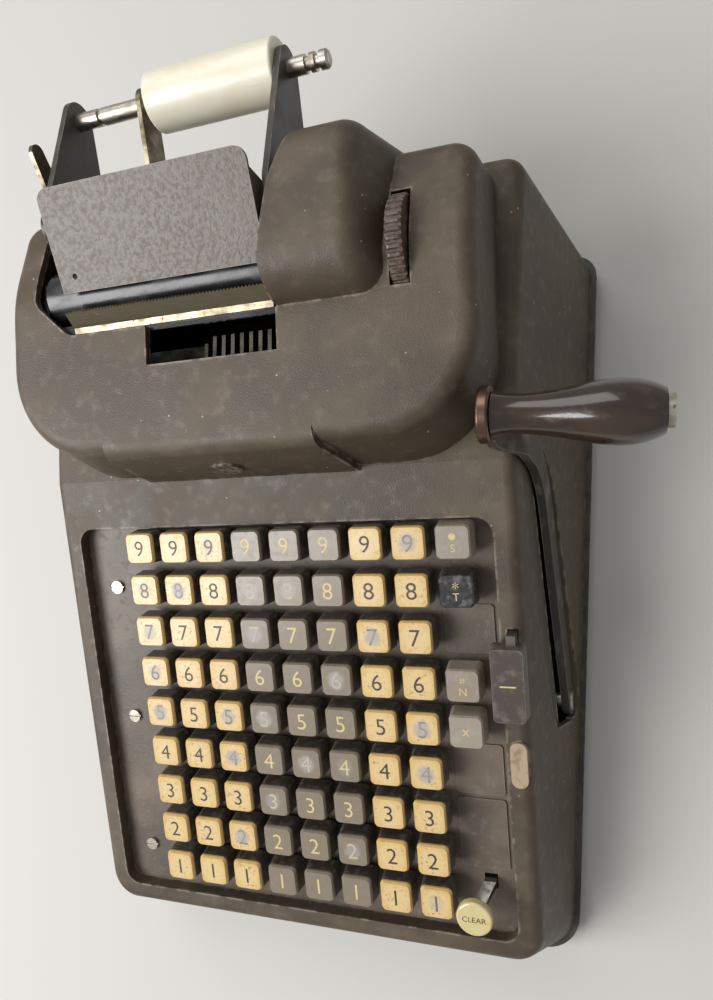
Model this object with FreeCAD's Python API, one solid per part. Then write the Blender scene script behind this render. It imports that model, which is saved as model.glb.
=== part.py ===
import FreeCAD, Part
import math
import os

# A hand-cranked full-keyboard adding machine with a paper roll at the rear.
# Millimetres and degrees. X is to the right, Y to the rear, Z up. The origin is on the
# desk, under the middle of the machine.

V = FreeCAD.Vector
ORIGIN = V(0, 0, 0)
X_AXIS = V(1, 0, 0)
Z_AXIS = V(0, 0, 1)

# Clearances
SLIDE_GAP = 0.3
RUNNING_GAP = 0.05
SWING_GAP = 1.5
ARM_SIDE_GAP = 1.0
THROUGH = 1.0

# Keyboard, in its own tilted plane: y runs up the slope, z out of it, key tops at z 0
TILT = 14.0
KEYS_X = 3.0
KEYS_Y = -57.0
KEYS_Z = 85.0
KEY_PITCH_X = 17.5
KEY_PITCH_Y = 19.0
COLUMNS = 8
ROWS = 9
CAP_TOP = 12.4
CAP_BASE = 14.6
CAP_HEIGHT = 9.0
CAP_EDGE = 1.0
CAP_CORNER = 2.0
STEM_THICK = 2.0
STEM_WIDTH = 7.0
STEM_IN_CAP = 5.0
STEM_BELOW_PLATE = 14.0
WELL_LEFT = 29.0
WELL_RIGHT = 5.5
WELL_FRONT = 11.7
WELL_REAR = 0.7
WELL_CORNER = 7.0
RIM_Z = -8.0
RIM_FRONT = 8.0
RIM_REAR = 22.0
PLATE_Z = -14.0
PLATE_THICK = 2.0

# Case walls, base pan and feet
FRONT_Y = -165.0
REAR_Y = 158.0
SHOULDER_REAR_Y = 167.0
SIDE_RIM = 31.7
FLARE = 0.0623
LEAN = 0.25
WALL = 3.0
CORNER_FRONT = 14.0
CORNER_REAR = 8.0
RIM_ROUND = 5.0
FOOT_HEIGHT = 5.0
FOOT_RADIUS = 9.0
FOOT_TAPER = 1.0
FOOT_INSET = 24.0
PAN_FLOOR = 2.0
PAN_HEIGHT = 6.0
PAN_LIP = 2.5
PAN_RIM = 7.0

# Screws: small ones in the keyboard plate, large ones under the base
SCREW_RADIUS = 1.2
SCREW_HEAD_RADIUS = 3.0
SCREW_HEAD = 1.4
SCREW_SLOT = 0.7
SCREW_LENGTH = 8.0
PLATE_SCREW_Y = (55.0, -9.0, -76.0)
BASE_SCREW_RADIUS = 2.2
BASE_SCREW_HEAD_RADIUS = 4.5
BASE_SCREW_HEAD = 2.0
BASE_SCREW_LENGTH = 18.0
SCREW_BEHIND_FOOT = 21.0
SCREW_BEFORE_FOOT = 14.0
BOSS_RADIUS = 6.0
BOSS_HEIGHT = 40.0

# Function column, blank covers, bar key, plug and clearing lever, in the keyboard plane
FUNCTION_ROWS = {"subtotal": 9, "total": 8, "non_add": 6, "repeat": 5}
COVER_THICK = 0.8
COVER_BEFORE = 8.25
COVER_WIDTH = 20.0
COVER_CORNER = 1.5
COVER_SPANS = ((28.0, 48.0), (-33.0, -11.0), (-66.0, -35.0))
BAR_OVER_WELL = 3.5
BAR_FRONT = 5.5
BAR_WIDTH = 14.0
BAR_LENGTH = 30.5
BAR_BOTTOM = -3.6
BAR_HEIGHT = 6.4
BAR_TAPER = 0.8
BAR_POST_Y = 35.0
BAR_POST_WIDTH = 3.5
BAR_POST_DEPTH = 9.0
BAR_POST_IN = 3.0
BAR_POST_BELOW_RIM = 14.0
PLUG_FROM_WELL = 4.6
PLUG_Y = -15.7
PLUG_WIDTH = 6.6
PLUG_ROUND = 3.2
PLUG_LENGTH = 19.0
PLUG_PROUD = 1.4
PLUG_DEEP = 5.0
CLEAR_X = 77.2
CLEAR_Y = -78.4
CLEAR_RADIUS = 7.4
CLEAR_BOTTOM = -1.0
CLEAR_THICK = 4.0
CLEAR_ROUND = 1.0
CLEAR_POST_Y = -71.0
CLEAR_POST_WIDTH = 5.0
CLEAR_POST_THICK = 2.2
CLEAR_BEND = 4.0
CLEAR_PIVOT_Z = -26.0
CLEAR_PIVOT_RADIUS = 2.5
CLEAR_EYE_RADIUS = 5.0
CLEAR_SWING = 12.0

# Frames, rods and mechanism inside
FRAME_THICK = 3.0
FRAME_LEFT_X = -84.2
FRAME_FROM_KEYS = 2.75
FRAME_LUG = 5.5
FRAME_TOWER = 21.0
ROD_RADIUS = 4.0
FRONT_ROD = (-118.0, 24.0)
MIDDLE_ROD = (30.0, 34.0)
COUNTER_ROD = (78.0, 82.0)
COUNTER_RADIUS = 13.0
COUNTER_THICK = 4.0
COUNTER_PITCH = 8.0
COUNTER_TEETH = 10
COUNTER_NOTCH = 2.0
TYPE_X = -14.0
TYPE_FROM_WINDOW = 7.0
TYPE_PITCH = 4.0
TYPE_COUNT = 10
TYPE_SHORT = 2
TYPE_THICK = 1.6
TYPE_DEPTH = 9.0
TYPE_LENGTH = 31.0
TYPE_BELOW_DECK = 6.5
TYPE_SHORT_DROP = 7.0
GUIDE_DEPTH = 13.0
GUIDE_HEIGHT = 8.0
GUIDE_UP = 8.0

# Head cover; heights are above the shoulder that it stands on
HEAD_FRONT_Y = 48.5
HEAD_FRONT_LEAN = 0.2
HEAD_REAR_Y = 163.0
HEAD_REAR_LEAN = 0.17
HEAD_HALF = 99.5
HEAD_SIDE_LEAN = 0.06
HEAD_RISE = 32.6
HEAD_REAR_RISE = 29.6
HEAD_LEDGE = 1.5
CREST_Y = 122.0
CREST_RISE = 38.6
CREST_ROUND = 60.0
HEAD_CORNER = 38.0
HEAD_REAR_CORNER = 10.0
DECK_ROUND = 7.0
PANEL_LEFT = -53.0
PANEL_RIGHT = 38.0
PANEL_SPREAD = 7.0
PANEL_PROUD = 2.5
PANEL_ROUND = 7.0
HUMP_LEFT = 26.0
HUMP_RIGHT = 67.0
HUMP_FRONT_Y = 103.5
HUMP_REAR_Y = 164.0
HUMP_RISE = 54.1
HUMP_NOSE = 17.0
HUMP_TAIL = 13.0
HUMP_SIDE_LEAN = 0.42
HUMP_ROUND = 9.0
RECESS_LEFT = -85.0
RECESS_FRONT_Y = 103.0
RECESS_BEVEL_X = 17.0
RECESS_BEVEL_Y = 15.0
RECESS_WAIST = (30.0, 142.0)
RECESS_REAR_X = 41.0
RECESS_FROM_Y = 118.0
RECESS_FLOOR = 5.0
RECESS_ROUND = 9.0
WINDOW_LEFT = -31.0
WINDOW_RIGHT = 25.5
WINDOW_FRONT_Y = 87.5
BADGE_X = -7.5
BADGE_UP = 13.0
BADGE_WIDTH = 14.0
BADGE_HEIGHT = 10.0
BADGE_THICK = 1.2

# Platen, guide strip, tear bar and paper table
PLATEN_Y = 122.0
PLATEN_BELOW_CREST = 10.5
PLATEN_RADIUS = 11.0
PLATEN_LEFT = -78.0
PLATEN_RIGHT = 60.0
SHAFT_RADIUS = 3.0
SHAFT_PROUD = 0.6
WHEEL_LEFT = 70.0
WHEEL_WIDTH = 6.0
WHEEL_RADIUS = 18.0
WHEEL_ROUND = 1.2
WHEEL_RIBS = 40
WHEEL_RIB_DEPTH = 0.9
WHEEL_SLOT_GAP = 0.7
STRIP_LEFT = -80.0
STRIP_RIGHT = 40.0
STRIP_FRONT_Y = 96.0
STRIP_REAR_Y = 108.0
STRIP_THICK = 1.2
TEAR_LEFT = -66.0
TEAR_RIGHT = 24.0
TEAR_WIDTH = 7.5
TEAR_THICK = 1.0
TEAR_LEAN = 38.0
TEAR_SEAT = 4.0
TEAR_TEETH = 60
TEAR_TOOTH = 0.9
TABLE_LEFT = -65.0
TABLE_RIGHT = 25.0
TABLE_AHEAD = 3.5
TABLE_ABOVE_PLATEN = 14.0
TABLE_LENGTH = 39.0
TABLE_ANGLE = 27.5
TABLE_THICK = 1.4
TABLE_CORNER = 5.0
TABLE_EAR = 2.0
TABLE_EAR_FRONT = 7.0
TABLE_EAR_REAR = 4.5
TABLE_EAR_FOOT = 7.0
TABLE_HOLE_IN = 7.5
TABLE_HOLE_UP = 6.0
TABLE_HOLE_RADIUS = 1.2

# Paper roll stand; places are from the stand rod
STAND_BEHIND_PLATEN = 20.0
STAND_BELOW_PLATEN = 13.0
ROLL_BACK = 56.0
ROLL_UP = 18.0
ARM_LEFT_X = -71.0
ARM_RIGHT_X = 27.0
ARM_THICK = 2.4
ARM_ROOT_RADIUS = 8.0
ARM_SHOULDER = (4.0, 29.0)
ARM_SHOULDER_RADIUS = 7.0
ARM_END_RADIUS = 8.0
ROLL_ROD_RADIUS = 3.5
ROLL_ROD_LEFT = -72.0
ROLL_ROD_RIGHT = 46.0
ROD_CHAMFER = 0.9
ROD_GROOVE_DEPTH = 1.0
ROD_GROOVE_WIDTH = 2.0
ROD_GROOVES = (-58.0, 36.5, 40.5)
CORE_LEFT = -30.0
CORE_RIGHT = 26.5
CORE_RADIUS = 11.8
CORE_BORE_GAP = 0.08
CORE_ROUND = 1.2
KEEPER_X = -36.0
KEEPER_THICK = 2.0
KEEPER_END_RADIUS = 6.5
KEEPER_ROOT_RADIUS = 6.5
KEEPER_WEB_WIDTH = 16.0
KEEPER_WEB_FROM = 18.0
KEEPER_WEB_TO = 36.0
KEEPER_WEB_DROP = 2.0
RELEASE_X = -79.0
RELEASE_THICK = 1.8
RELEASE_TIP = (36.0, 32.0)
RELEASE_ROOT_RADIUS = 6.0
RELEASE_TIP_RADIUS = 3.5

# Crank
CRANK_Y = -53.0
CRANK_Z = 21.0
CRANK_SHAFT_RADIUS = 5.0
CRANK_SHAFT_PROUD = 0.5
CRANK_SUNK = 4.2
CRANK_ARM_THICK = 3.5
CRANK_ARM_WIDTH = 13.0
CRANK_KNEE = (50.0, 69.0)
CRANK_KNEE_ROUND = 36.0
CRANK_BEND_RISE = 9.0
CRANK_BEND_ROUND = 8.0
SLOT_FRONT = (-62.0, 42.0)
SLOT_NOSE = (-53.0, 49.0)
SLOT_TOP = (14.0, 84.0)
SLOT_REAR = (50.0, 100.0)
COLLAR_FROM_HEAD = 2.0
COLLAR_THICK = 4.2
COLLAR_RADIUS = 10.0
COLLAR_ROUND = 0.9
GRIP_Y = 59.2
GRIP_Z = 129.0
GRIP_TURN = 3.3
GRIP_GAP = 0.3
GRIP_LENGTH = 54.5
GRIP_PROFILE = ((0.0, 7.8), (0.22, 6.9), (0.45, 8.6), (0.72, 10.8), (0.9, 9.8), (1.0, 7.4))
BOLT_RADIUS = 3.5
BOLT_HEAD_RADIUS = 5.5
BOLT_HEAD = 2.2
BOLT_SLOT = 1.2


# Small builders
def box(x0, x1, y0, y1, z0, z1):
    return Part.makeBox(x1 - x0, y1 - y0, z1 - z0, V(x0, y0, z0))


def rod_x(y, z, radius, x0, x1):
    return Part.makeCylinder(radius, x1 - x0, V(x0, y, z), X_AXIS)


def prism(corners, along):
    """A flat outline of points, carried along a vector."""
    return Part.Face(Part.makePolygon(corners + corners[:1])).extrude(along)


def plate_x(points, x0, x1):
    """A flat plate across X, from an outline of (y, z) points."""
    return prism([V(x0, y, z) for y, z in points], V(x1 - x0, 0, 0))


def plate_y(points, y0, y1):
    """A flat plate across Y, from an outline of (x, z) points."""
    return prism([V(x, y0, z) for x, z in points], V(0, y1 - y0, 0))


def plate_z(points, z0, z1):
    """A flat plate across Z, from an outline of (x, y) points."""
    return prism([V(x, y, z0) for x, y in points], V(0, 0, z1 - z0))


def rounded_wire(x0, x1, y0, y1, radius, z):
    """A rectangle with round corners, in the plane at height z."""
    slant = radius * (1 - math.sqrt(0.5))
    arcs = []
    corners = [(x1, y0, -1, 1), (x1, y1, -1, -1), (x0, y1, 1, -1), (x0, y0, 1, 1)]
    for index, (x, y, sx, sy) in enumerate(corners):
        ends = V(x + sx * radius, y, z), V(x, y + sy * radius, z)
        first, last = ends if index % 2 == 0 else ends[::-1]
        middle = V(x + sx * slant, y + sy * slant, z)
        arcs.append(Part.Arc(first, middle, last).toShape())
    edges = []
    for index, arc in enumerate(arcs):
        following = arcs[(index + 1) % len(arcs)]
        edges += [arc, Part.makeLine(arc.lastVertex().Point, following.firstVertex().Point)]
    return Part.Wire(edges)


def rounded_block(x0, x1, y0, y1, radius, z0, z1):
    return Part.Face(rounded_wire(x0, x1, y0, y1, radius, z0)).extrude(V(0, 0, z1 - z0))


def flared_solid(profile, half_width):
    """A side profile of (y, z) points, given clockwise, as wide at each point as half_width says."""
    right = [V(half_width(y, z), y, z) for y, z in profile]
    left = [V(-p.x, p.y, p.z) for p in right]
    outlines = [right[::-1], left]
    for i in range(len(profile)):
        j = (i + 1) % len(profile)
        outlines.append([right[i], right[j], left[j], left[i]])
    faces = [Part.Face(Part.makePolygon(corners + corners[:1])) for corners in outlines]
    return Part.makeSolid(Part.makeShell(faces))


def inset(profile, depth):
    """A convex (y, z) outline, given clockwise, with every side moved in by depth."""
    sides = []
    for i, (y0, z0) in enumerate(profile):
        y1, z1 = profile[(i + 1) % len(profile)]
        length = math.hypot(y1 - y0, z1 - z0)
        dy, dz = (y1 - y0) / length, (z1 - z0) / length
        sides.append((y0 + dz * depth, z0 - dy * depth, dy, dz))
    points = []
    for i, (by, bz, bdy, bdz) in enumerate(sides):
        ay, az, ady, adz = sides[i - 1]
        step = ((by - ay) * bdz - (bz - az) * bdy) / (ady * bdz - adz * bdy)
        points.append((ay + ady * step, az + adz * step))
    return points


TOUCH = 0.01


def edges_joining(shape, first, last):
    """The edges of a shape whose two ends lie on the two points."""
    found = []
    for edge in shape.Edges:
        ends = [v.Point for v in edge.Vertexes]
        if len(ends) == 2:
            straight = max(ends[0].distanceToPoint(first), ends[1].distanceToPoint(last))
            crossed = max(ends[0].distanceToPoint(last), ends[1].distanceToPoint(first))
            if min(straight, crossed) < TOUCH:
                found.append(edge)
    return found


def round_corners(block, profile, half_width, first, last, radius):
    """Rounds the left and right edges of a flared solid between two points of its profile."""
    edges = []
    for side in (-1, 1):
        a, b = [V(side * half_width(y, z), y, z) for y, z in (profile[first], profile[last])]
        edges += edges_joining(block, a, b)
    return block.makeFillet(radius, edges)


def facing_up(shape, least=0.85):
    """The faces of a shape that look mostly upwards."""
    found = []
    for face in shape.Faces:
        u0, u1, v0, v1 = face.ParameterRange
        if face.normalAt((u0 + u1) / 2, (v0 + v1) / 2).z > least:
            found.append(face)
    return found


def outline_edges(faces):
    """The edges that belong to only one of the faces."""
    edges = [edge for face in faces for edge in face.OuterWire.Edges]
    return [a for a in edges if sum(a.isSame(b) for b in edges) == 1]


def export(name, *solids):
    shape = solids[0] if len(solids) == 1 else Part.makeCompound(list(solids))
    shape.exportStep("parts/" + name + ".step")


os.makedirs("parts", exist_ok=True)

# The keyboard's plane and what follows from the grid of keys
KEYBOARD = FreeCAD.Placement(V(KEYS_X, KEYS_Y, KEYS_Z), FreeCAD.Rotation(X_AXIS, TILT))


def tilted(shape):
    """A shape made in the keyboard plane, put in its place."""
    return shape.transformed(KEYBOARD.toMatrix())


def at_keys(x, y, z):
    return KEYBOARD.multVec(V(x, y, z))


def key_place(column, row):
    """Where a key of a column and row stands in the keyboard plane."""
    x = (column - (COLUMNS + 1) / 2) * KEY_PITCH_X
    y = (row - (ROWS + 1) / 2) * KEY_PITCH_Y
    return x, y


FUNCTION_X = key_place(COLUMNS + 1, 1)[0]
FIRST_ROW_Y = key_place(1, 1)[1]
LAST_ROW_Y = key_place(1, ROWS)[1]
OPENING_LEFT = key_place(1, 1)[0] - KEY_PITCH_X / 2 - WELL_LEFT
OPENING_RIGHT = FUNCTION_X + KEY_PITCH_X / 2 + WELL_RIGHT
OPENING_FRONT = FIRST_ROW_Y - CAP_BASE / 2 - WELL_FRONT
OPENING_REAR = LAST_ROW_Y + CAP_BASE / 2 + WELL_REAR
PLATE_UNDER = PLATE_Z - PLATE_THICK
RIM_FRONT_POINT = at_keys(0, OPENING_FRONT - RIM_FRONT, RIM_Z)
RIM_REAR_POINT = at_keys(0, OPENING_REAR + RIM_REAR, RIM_Z)

# Heights, and the places of the platen, the rods and the frames
PAN_BOTTOM = FOOT_HEIGHT
FLOOR_TOP = PAN_BOTTOM + PAN_FLOOR
CASE_BOTTOM = PAN_BOTTOM + PAN_HEIGHT
SHOULDER_Z = RIM_REAR_POINT.z
DECK_FRONT_Z = SHOULDER_Z + HEAD_RISE
DECK_REAR_Z = SHOULDER_Z + HEAD_REAR_RISE
CREST_Z = SHOULDER_Z + CREST_RISE
HUMP_TOP_Z = SHOULDER_Z + HUMP_RISE
RECESS_FLOOR_Z = SHOULDER_Z + RECESS_FLOOR
PLATEN_Z = CREST_Z - PLATEN_BELOW_CREST
STAND_ROD = (PLATEN_Y + STAND_BEHIND_PLATEN, PLATEN_Z - STAND_BELOW_PLATEN)
ROLL = (STAND_ROD[0] + ROLL_BACK, STAND_ROD[1] + ROLL_UP)
FRAME_RIGHT_X = KEYS_X + FUNCTION_X + STEM_WIDTH / 2 + FRAME_FROM_KEYS
PLATE_SCREW_X = FRAME_LEFT_X + FRAME_THICK / 2 - KEYS_X
RODS_LEFT = FRAME_LEFT_X
RODS_RIGHT = FRAME_RIGHT_X + FRAME_THICK

# The case's sides lean inwards going up and flare apart going to the rear
HALF_WIDTH = KEYS_X + OPENING_RIGHT + SIDE_RIM
WALL_SLANT = math.sqrt(1 + LEAN ** 2 + FLARE ** 2)
PLAN_SLANT = math.sqrt(1 + FLARE ** 2)


def side_x(y, z):
    """Half the case's outside width at a height and a distance to the rear."""
    return HALF_WIDTH + FLARE * y - LEAN * z


def inner_side_x(y, z):
    return side_x(y, z) - WALL * WALL_SLANT


def case_profile(bottom):
    front_lean = (RIM_FRONT_POINT.y - FRONT_Y) / (RIM_FRONT_POINT.z - CASE_BOTTOM)
    rear_lean = (SHOULDER_REAR_Y - REAR_Y) / (SHOULDER_Z - CASE_BOTTOM)
    drop = CASE_BOTTOM - bottom
    return [(FRONT_Y - drop * front_lean, bottom), (RIM_FRONT_POINT.y, RIM_FRONT_POINT.z),
            (RIM_REAR_POINT.y, SHOULDER_Z), (SHOULDER_REAR_Y, SHOULDER_Z), (REAR_Y - drop * rear_lean, bottom)]


# Base pan: a shallow tray whose rim carries the case
def footprint(grow, z0, z1):
    """The case's outline at its lower edge, grown all round, as a plate."""
    front, rear = FRONT_Y - grow, REAR_Y + grow
    at_front = side_x(front, CASE_BOTTOM) + grow * PLAN_SLANT
    at_rear = side_x(rear, CASE_BOTTOM) + grow * PLAN_SLANT
    plate = plate_z([(-at_front, front), (at_front, front), (at_rear, rear), (-at_rear, rear)], z0, z1)
    for x, y, radius in ((at_front, front, CORNER_FRONT), (at_rear, rear, CORNER_REAR)):
        edges = [e for s in (-1, 1) for e in edges_joining(plate, V(s * x, y, z0), V(s * x, y, z1))]
        plate = plate.makeFillet(max(radius + grow, WALL / 2), edges)
    return plate


screw_spots = []
for y in (FRONT_Y + FOOT_INSET + SCREW_BEHIND_FOOT, REAR_Y - FOOT_INSET - SCREW_BEFORE_FOOT):
    x = side_x(y, CASE_BOTTOM) - PAN_RIM * PLAN_SLANT - BOSS_RADIUS - SLIDE_GAP
    screw_spots += [(x, y), (-x, y)]
pan = footprint(PAN_LIP, PAN_BOTTOM, CASE_BOTTOM)
pan = pan.cut(footprint(-PAN_RIM, FLOOR_TOP, CASE_BOTTOM + THROUGH))
for x, y in screw_spots:
    pan = pan.cut(Part.makeCylinder(BASE_SCREW_RADIUS, PAN_HEIGHT, V(x, y, PAN_BOTTOM - THROUGH)))
export("base_pan", pan)

feet = []
for y in (FRONT_Y + FOOT_INSET, REAR_Y - FOOT_INSET):
    for side in (-1, 1):
        x = side * (side_x(y, 0) - FOOT_INSET)
        feet.append(Part.makeCone(FOOT_RADIUS - FOOT_TAPER, FOOT_RADIUS, FOOT_HEIGHT, V(x, y, 0)))
export("rubber_feet", *feet)


# Head cover: a deck that rises to a crest, with a raised hump, a paper recess and a type window
HEAD_FRONT_TOP_Y = HEAD_FRONT_Y + HEAD_FRONT_LEAN * HEAD_RISE
DECK_RISE = (CREST_Z - DECK_FRONT_Z) / (CREST_Y - HEAD_FRONT_TOP_Y)


def deck_z(y):
    """The height of the deck between the head's front and its crest."""
    return DECK_FRONT_Z + (y - HEAD_FRONT_TOP_Y) * DECK_RISE


def head_block(depth, bottom):
    """The head without its hump, with every face moved in by depth."""
    drop = SHOULDER_Z - bottom
    points = [(HEAD_FRONT_Y - HEAD_FRONT_LEAN * drop, bottom), (HEAD_FRONT_TOP_Y, DECK_FRONT_Z),
              (CREST_Y, CREST_Z), (HEAD_REAR_Y - HEAD_REAR_LEAN * HEAD_REAR_RISE, DECK_REAR_Z),
              (HEAD_REAR_Y + HEAD_REAR_LEAN * drop, bottom)]
    if depth:
        points = inset(points, depth)

    def half(y, z):
        return HEAD_HALF + HEAD_SIDE_LEAN * (DECK_FRONT_Z - z) - depth

    block = flared_solid(points, half)
    block = round_corners(block, points, half, 0, 1, HEAD_CORNER - depth)
    block = round_corners(block, points, half, 3, 4, HEAD_REAR_CORNER - depth)
    crest_y, crest_z = points[2]
    crest_x = half(crest_y, crest_z)
    crest = edges_joining(block, V(crest_x, crest_y, crest_z), V(-crest_x, crest_y, crest_z))
    block = block.makeFillet(CREST_ROUND - depth, crest)
    return block.makeFillet(DECK_ROUND - depth, outline_edges(facing_up(block)))


def hump_block(depth, left):
    """The hump over the platen's right end: a round nose, a flat top and a sloping right side."""
    front, rear = HUMP_FRONT_Y + depth, HUMP_REAR_Y - depth
    top_z, bottom = HUMP_TOP_Z - depth, SHOULDER_Z
    right = HUMP_RIGHT + HUMP_SIDE_LEAN * (CREST_Z - bottom) - depth
    nose, tail = HUMP_NOSE - depth, HUMP_TAIL - depth
    arc_in = 1 - math.sqrt(0.5)
    nose_arc = Part.Arc(V(left, front, top_z - nose), V(left, front + nose * arc_in, top_z - nose * arc_in),
                        V(left, front + nose, top_z)).toShape()
    tail_arc = Part.Arc(V(left, rear - tail, top_z), V(left, rear - tail * arc_in, top_z - tail * arc_in),
                        V(left, rear, top_z - tail)).toShape()
    foot_front, foot_rear = V(left, front, bottom), V(left, rear, bottom)
    wire = Part.Wire([Part.makeLine(foot_front, nose_arc.firstVertex().Point), nose_arc,
                      Part.makeLine(nose_arc.lastVertex().Point, tail_arc.firstVertex().Point), tail_arc,
                      Part.makeLine(tail_arc.lastVertex().Point, foot_rear),
                      Part.makeLine(foot_rear, foot_front)])
    block = Part.Face(wire).extrude(V(right - left, 0, 0))
    top_right = right - HUMP_SIDE_LEAN * (top_z - bottom)
    block = block.common(plate_y([(left, bottom), (right, bottom), (top_right, top_z), (left, top_z)],
                                 front - THROUGH, rear + THROUGH))
    round_edges = [e for e in block.Edges if e.BoundBox.XMax > top_right - TOUCH
                   and e.BoundBox.ZMax > bottom + TOUCH and e.BoundBox.XMin > left + TOUCH]
    return block.makeFillet(HUMP_ROUND - depth, round_edges)


head = head_block(0, SHOULDER_Z).fuse(hump_block(0, HUMP_LEFT))
panel_rear = HEAD_FRONT_TOP_Y + HEAD_CORNER
panel_top = HEAD_FRONT_TOP_Y - PANEL_PROUD
panel_right_foot = PANEL_RIGHT + PANEL_SPREAD
panel = plate_x([(HEAD_FRONT_Y - PANEL_PROUD, SHOULDER_Z), (panel_top, deck_z(panel_top)),
                 (panel_rear, deck_z(panel_rear)), (panel_rear, SHOULDER_Z)], PANEL_LEFT, panel_right_foot)
panel = panel.makeFillet(PANEL_ROUND, edges_joining(panel, V(PANEL_LEFT, panel_top, deck_z(panel_top)),
                                                    V(panel_right_foot, panel_top, deck_z(panel_top))))
panel = panel.common(plate_y([(PANEL_LEFT, SHOULDER_Z), (panel_right_foot, SHOULDER_Z),
                              (PANEL_RIGHT, DECK_FRONT_Z), (PANEL_RIGHT, CREST_Z), (PANEL_LEFT, CREST_Z)],
                             HEAD_FRONT_Y - HEAD_CORNER, panel_rear))
head = head.fuse(panel).removeSplitter()
head = head.cut(head_block(WALL, SHOULDER_Z - WALL).fuse(hump_block(WALL, HUMP_LEFT - WALL)))
recess_rear = HUMP_REAR_Y + WALL
recess_top = HUMP_TOP_Z + WALL
bevel_ends = [(RECESS_LEFT + RECESS_BEVEL_X, RECESS_FRONT_Y), (RECESS_LEFT, RECESS_FRONT_Y + RECESS_BEVEL_Y)]
recess = plate_z(bevel_ends + [(RECESS_LEFT, recess_rear), (RECESS_REAR_X, recess_rear), RECESS_WAIST,
                               (HUMP_LEFT, RECESS_FROM_Y), (HUMP_LEFT, RECESS_FRONT_Y)],
                 RECESS_FLOOR_Z, recess_top)
for x, y in bevel_ends:
    upright = edges_joining(recess, V(x, y, RECESS_FLOOR_Z), V(x, y, recess_top))
    recess = recess.makeFillet(RECESS_ROUND, upright)
head = head.cut(recess)
head = head.cut(box(WINDOW_LEFT, WINDOW_RIGHT, WINDOW_FRONT_Y, RECESS_FRONT_Y + WALL,
                    RECESS_FLOOR_Z, HUMP_TOP_Z))
head = head.cut(rod_x(PLATEN_Y, PLATEN_Z, WHEEL_RADIUS + 2 * WHEEL_SLOT_GAP, WHEEL_LEFT - WHEEL_SLOT_GAP,
                      WHEEL_LEFT + WHEEL_WIDTH + WHEEL_SLOT_GAP))
export("head_cover", head)

badge_z = SHOULDER_Z + BADGE_UP
badge_oval = Part.Ellipse(ORIGIN, BADGE_WIDTH / 2, BADGE_HEIGHT / 2).toShape()
badge = Part.Face(Part.Wire([badge_oval])).extrude(V(0, 0, BADGE_THICK))
badge.rotate(ORIGIN, X_AXIS, 90 - math.degrees(math.atan(HEAD_FRONT_LEAN)))
badge.translate(V(BADGE_X, HEAD_FRONT_Y - PANEL_PROUD + HEAD_FRONT_LEAN * BADGE_UP, badge_z))
export("name_badge", badge)


# Crank: shaft, cranked arm, collar, shoulder bolt and turning grip
COLLAR_X = HEAD_HALF - COLLAR_FROM_HEAD
CRANK_ARM_X = side_x(CRANK_Y, CRANK_Z) - CRANK_SUNK
CRANK_PATH = [(CRANK_Y, CRANK_Z), CRANK_KNEE, (GRIP_Y, GRIP_Z)]


def crank_band(grow):
    """The arm's outline seen from the side: an even band with a round knee and round ends, grown all round."""
    half = CRANK_ARM_WIDTH / 2 + grow
    x0, x1 = COLLAR_X - THROUGH, HALF_WIDTH
    (ay, az), (by, bz), (cy, cz) = CRANK_PATH
    first = math.hypot(by - ay, bz - az)
    second = math.hypot(cy - by, cz - bz)
    start = ((by - ay) / first, (bz - az) / first)
    finish = ((cy - by) / second, (cz - bz) / second)
    bend = 1 + start[0] * finish[0] + start[1] * finish[1]
    corner = (-(start[1] + finish[1]) * half / bend, (start[0] + finish[0]) * half / bend)
    outline = []
    for side in (1, -1):
        along = [(ay - side * start[1] * half, az + side * start[0] * half),
                 (by + side * corner[0], bz + side * corner[1]),
                 (cy - side * finish[1] * half, cz + side * finish[0] * half)]
        outline += along[::side]
    block = plate_x(outline, x0, x1)
    for side, radius in ((1, CRANK_KNEE_ROUND - half), (-1, CRANK_KNEE_ROUND + half)):
        y, z = by + side * corner[0], bz + side * corner[1]
        block = block.makeFillet(radius, edges_joining(block, V(x0, y, z), V(x1, y, z)))
    return block.fuse(rod_x(ay, az, half, x0, x1)).fuse(rod_x(cy, cz, half, x0, x1))


def turned(shape):
    """A shape made along X at the grip's place, turned to the grip's own line."""
    shape = shape.copy()
    shape.rotate(V(COLLAR_X, GRIP_Y, GRIP_Z), Z_AXIS, -GRIP_TURN)
    return shape


bend_low_z, bend_high_z = SHOULDER_Z, SHOULDER_Z + CRANK_BEND_RISE
bend_x = side_x(GRIP_Y, bend_low_z) + SWING_GAP
arm_top_x = COLLAR_X + (COLLAR_THICK - CRANK_ARM_THICK) / 2
sheet_left = [(CRANK_ARM_X, CRANK_Z - CRANK_ARM_WIDTH), (CRANK_ARM_X, CRANK_Z), (bend_x, bend_low_z),
              (arm_top_x, bend_high_z), (arm_top_x, GRIP_Z + CRANK_ARM_WIDTH)]
sheet_right = [(x + CRANK_ARM_THICK, z) for x, z in sheet_left]
sheet_front, sheet_rear = CRANK_Y - CRANK_ARM_WIDTH, GRIP_Y + CRANK_ARM_WIDTH
sheet = plate_y(sheet_left + sheet_right[::-1], sheet_front, sheet_rear)
for x, z in sheet_left[2:4] + sheet_right[2:4]:
    sheet = sheet.makeFillet(CRANK_BEND_ROUND, edges_joining(sheet, V(x, sheet_front, z), V(x, sheet_rear, z)))
crank_shaft = rod_x(CRANK_Y, CRANK_Z, CRANK_SHAFT_RADIUS, RODS_LEFT - SHAFT_PROUD,
                    CRANK_ARM_X + CRANK_ARM_THICK + CRANK_SHAFT_PROUD)
collar = rod_x(GRIP_Y, GRIP_Z, COLLAR_RADIUS, COLLAR_X, COLLAR_X + COLLAR_THICK)
collar = turned(collar.makeFillet(COLLAR_ROUND, [e for e in collar.Edges if len(e.Vertexes) == 1]))
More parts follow.
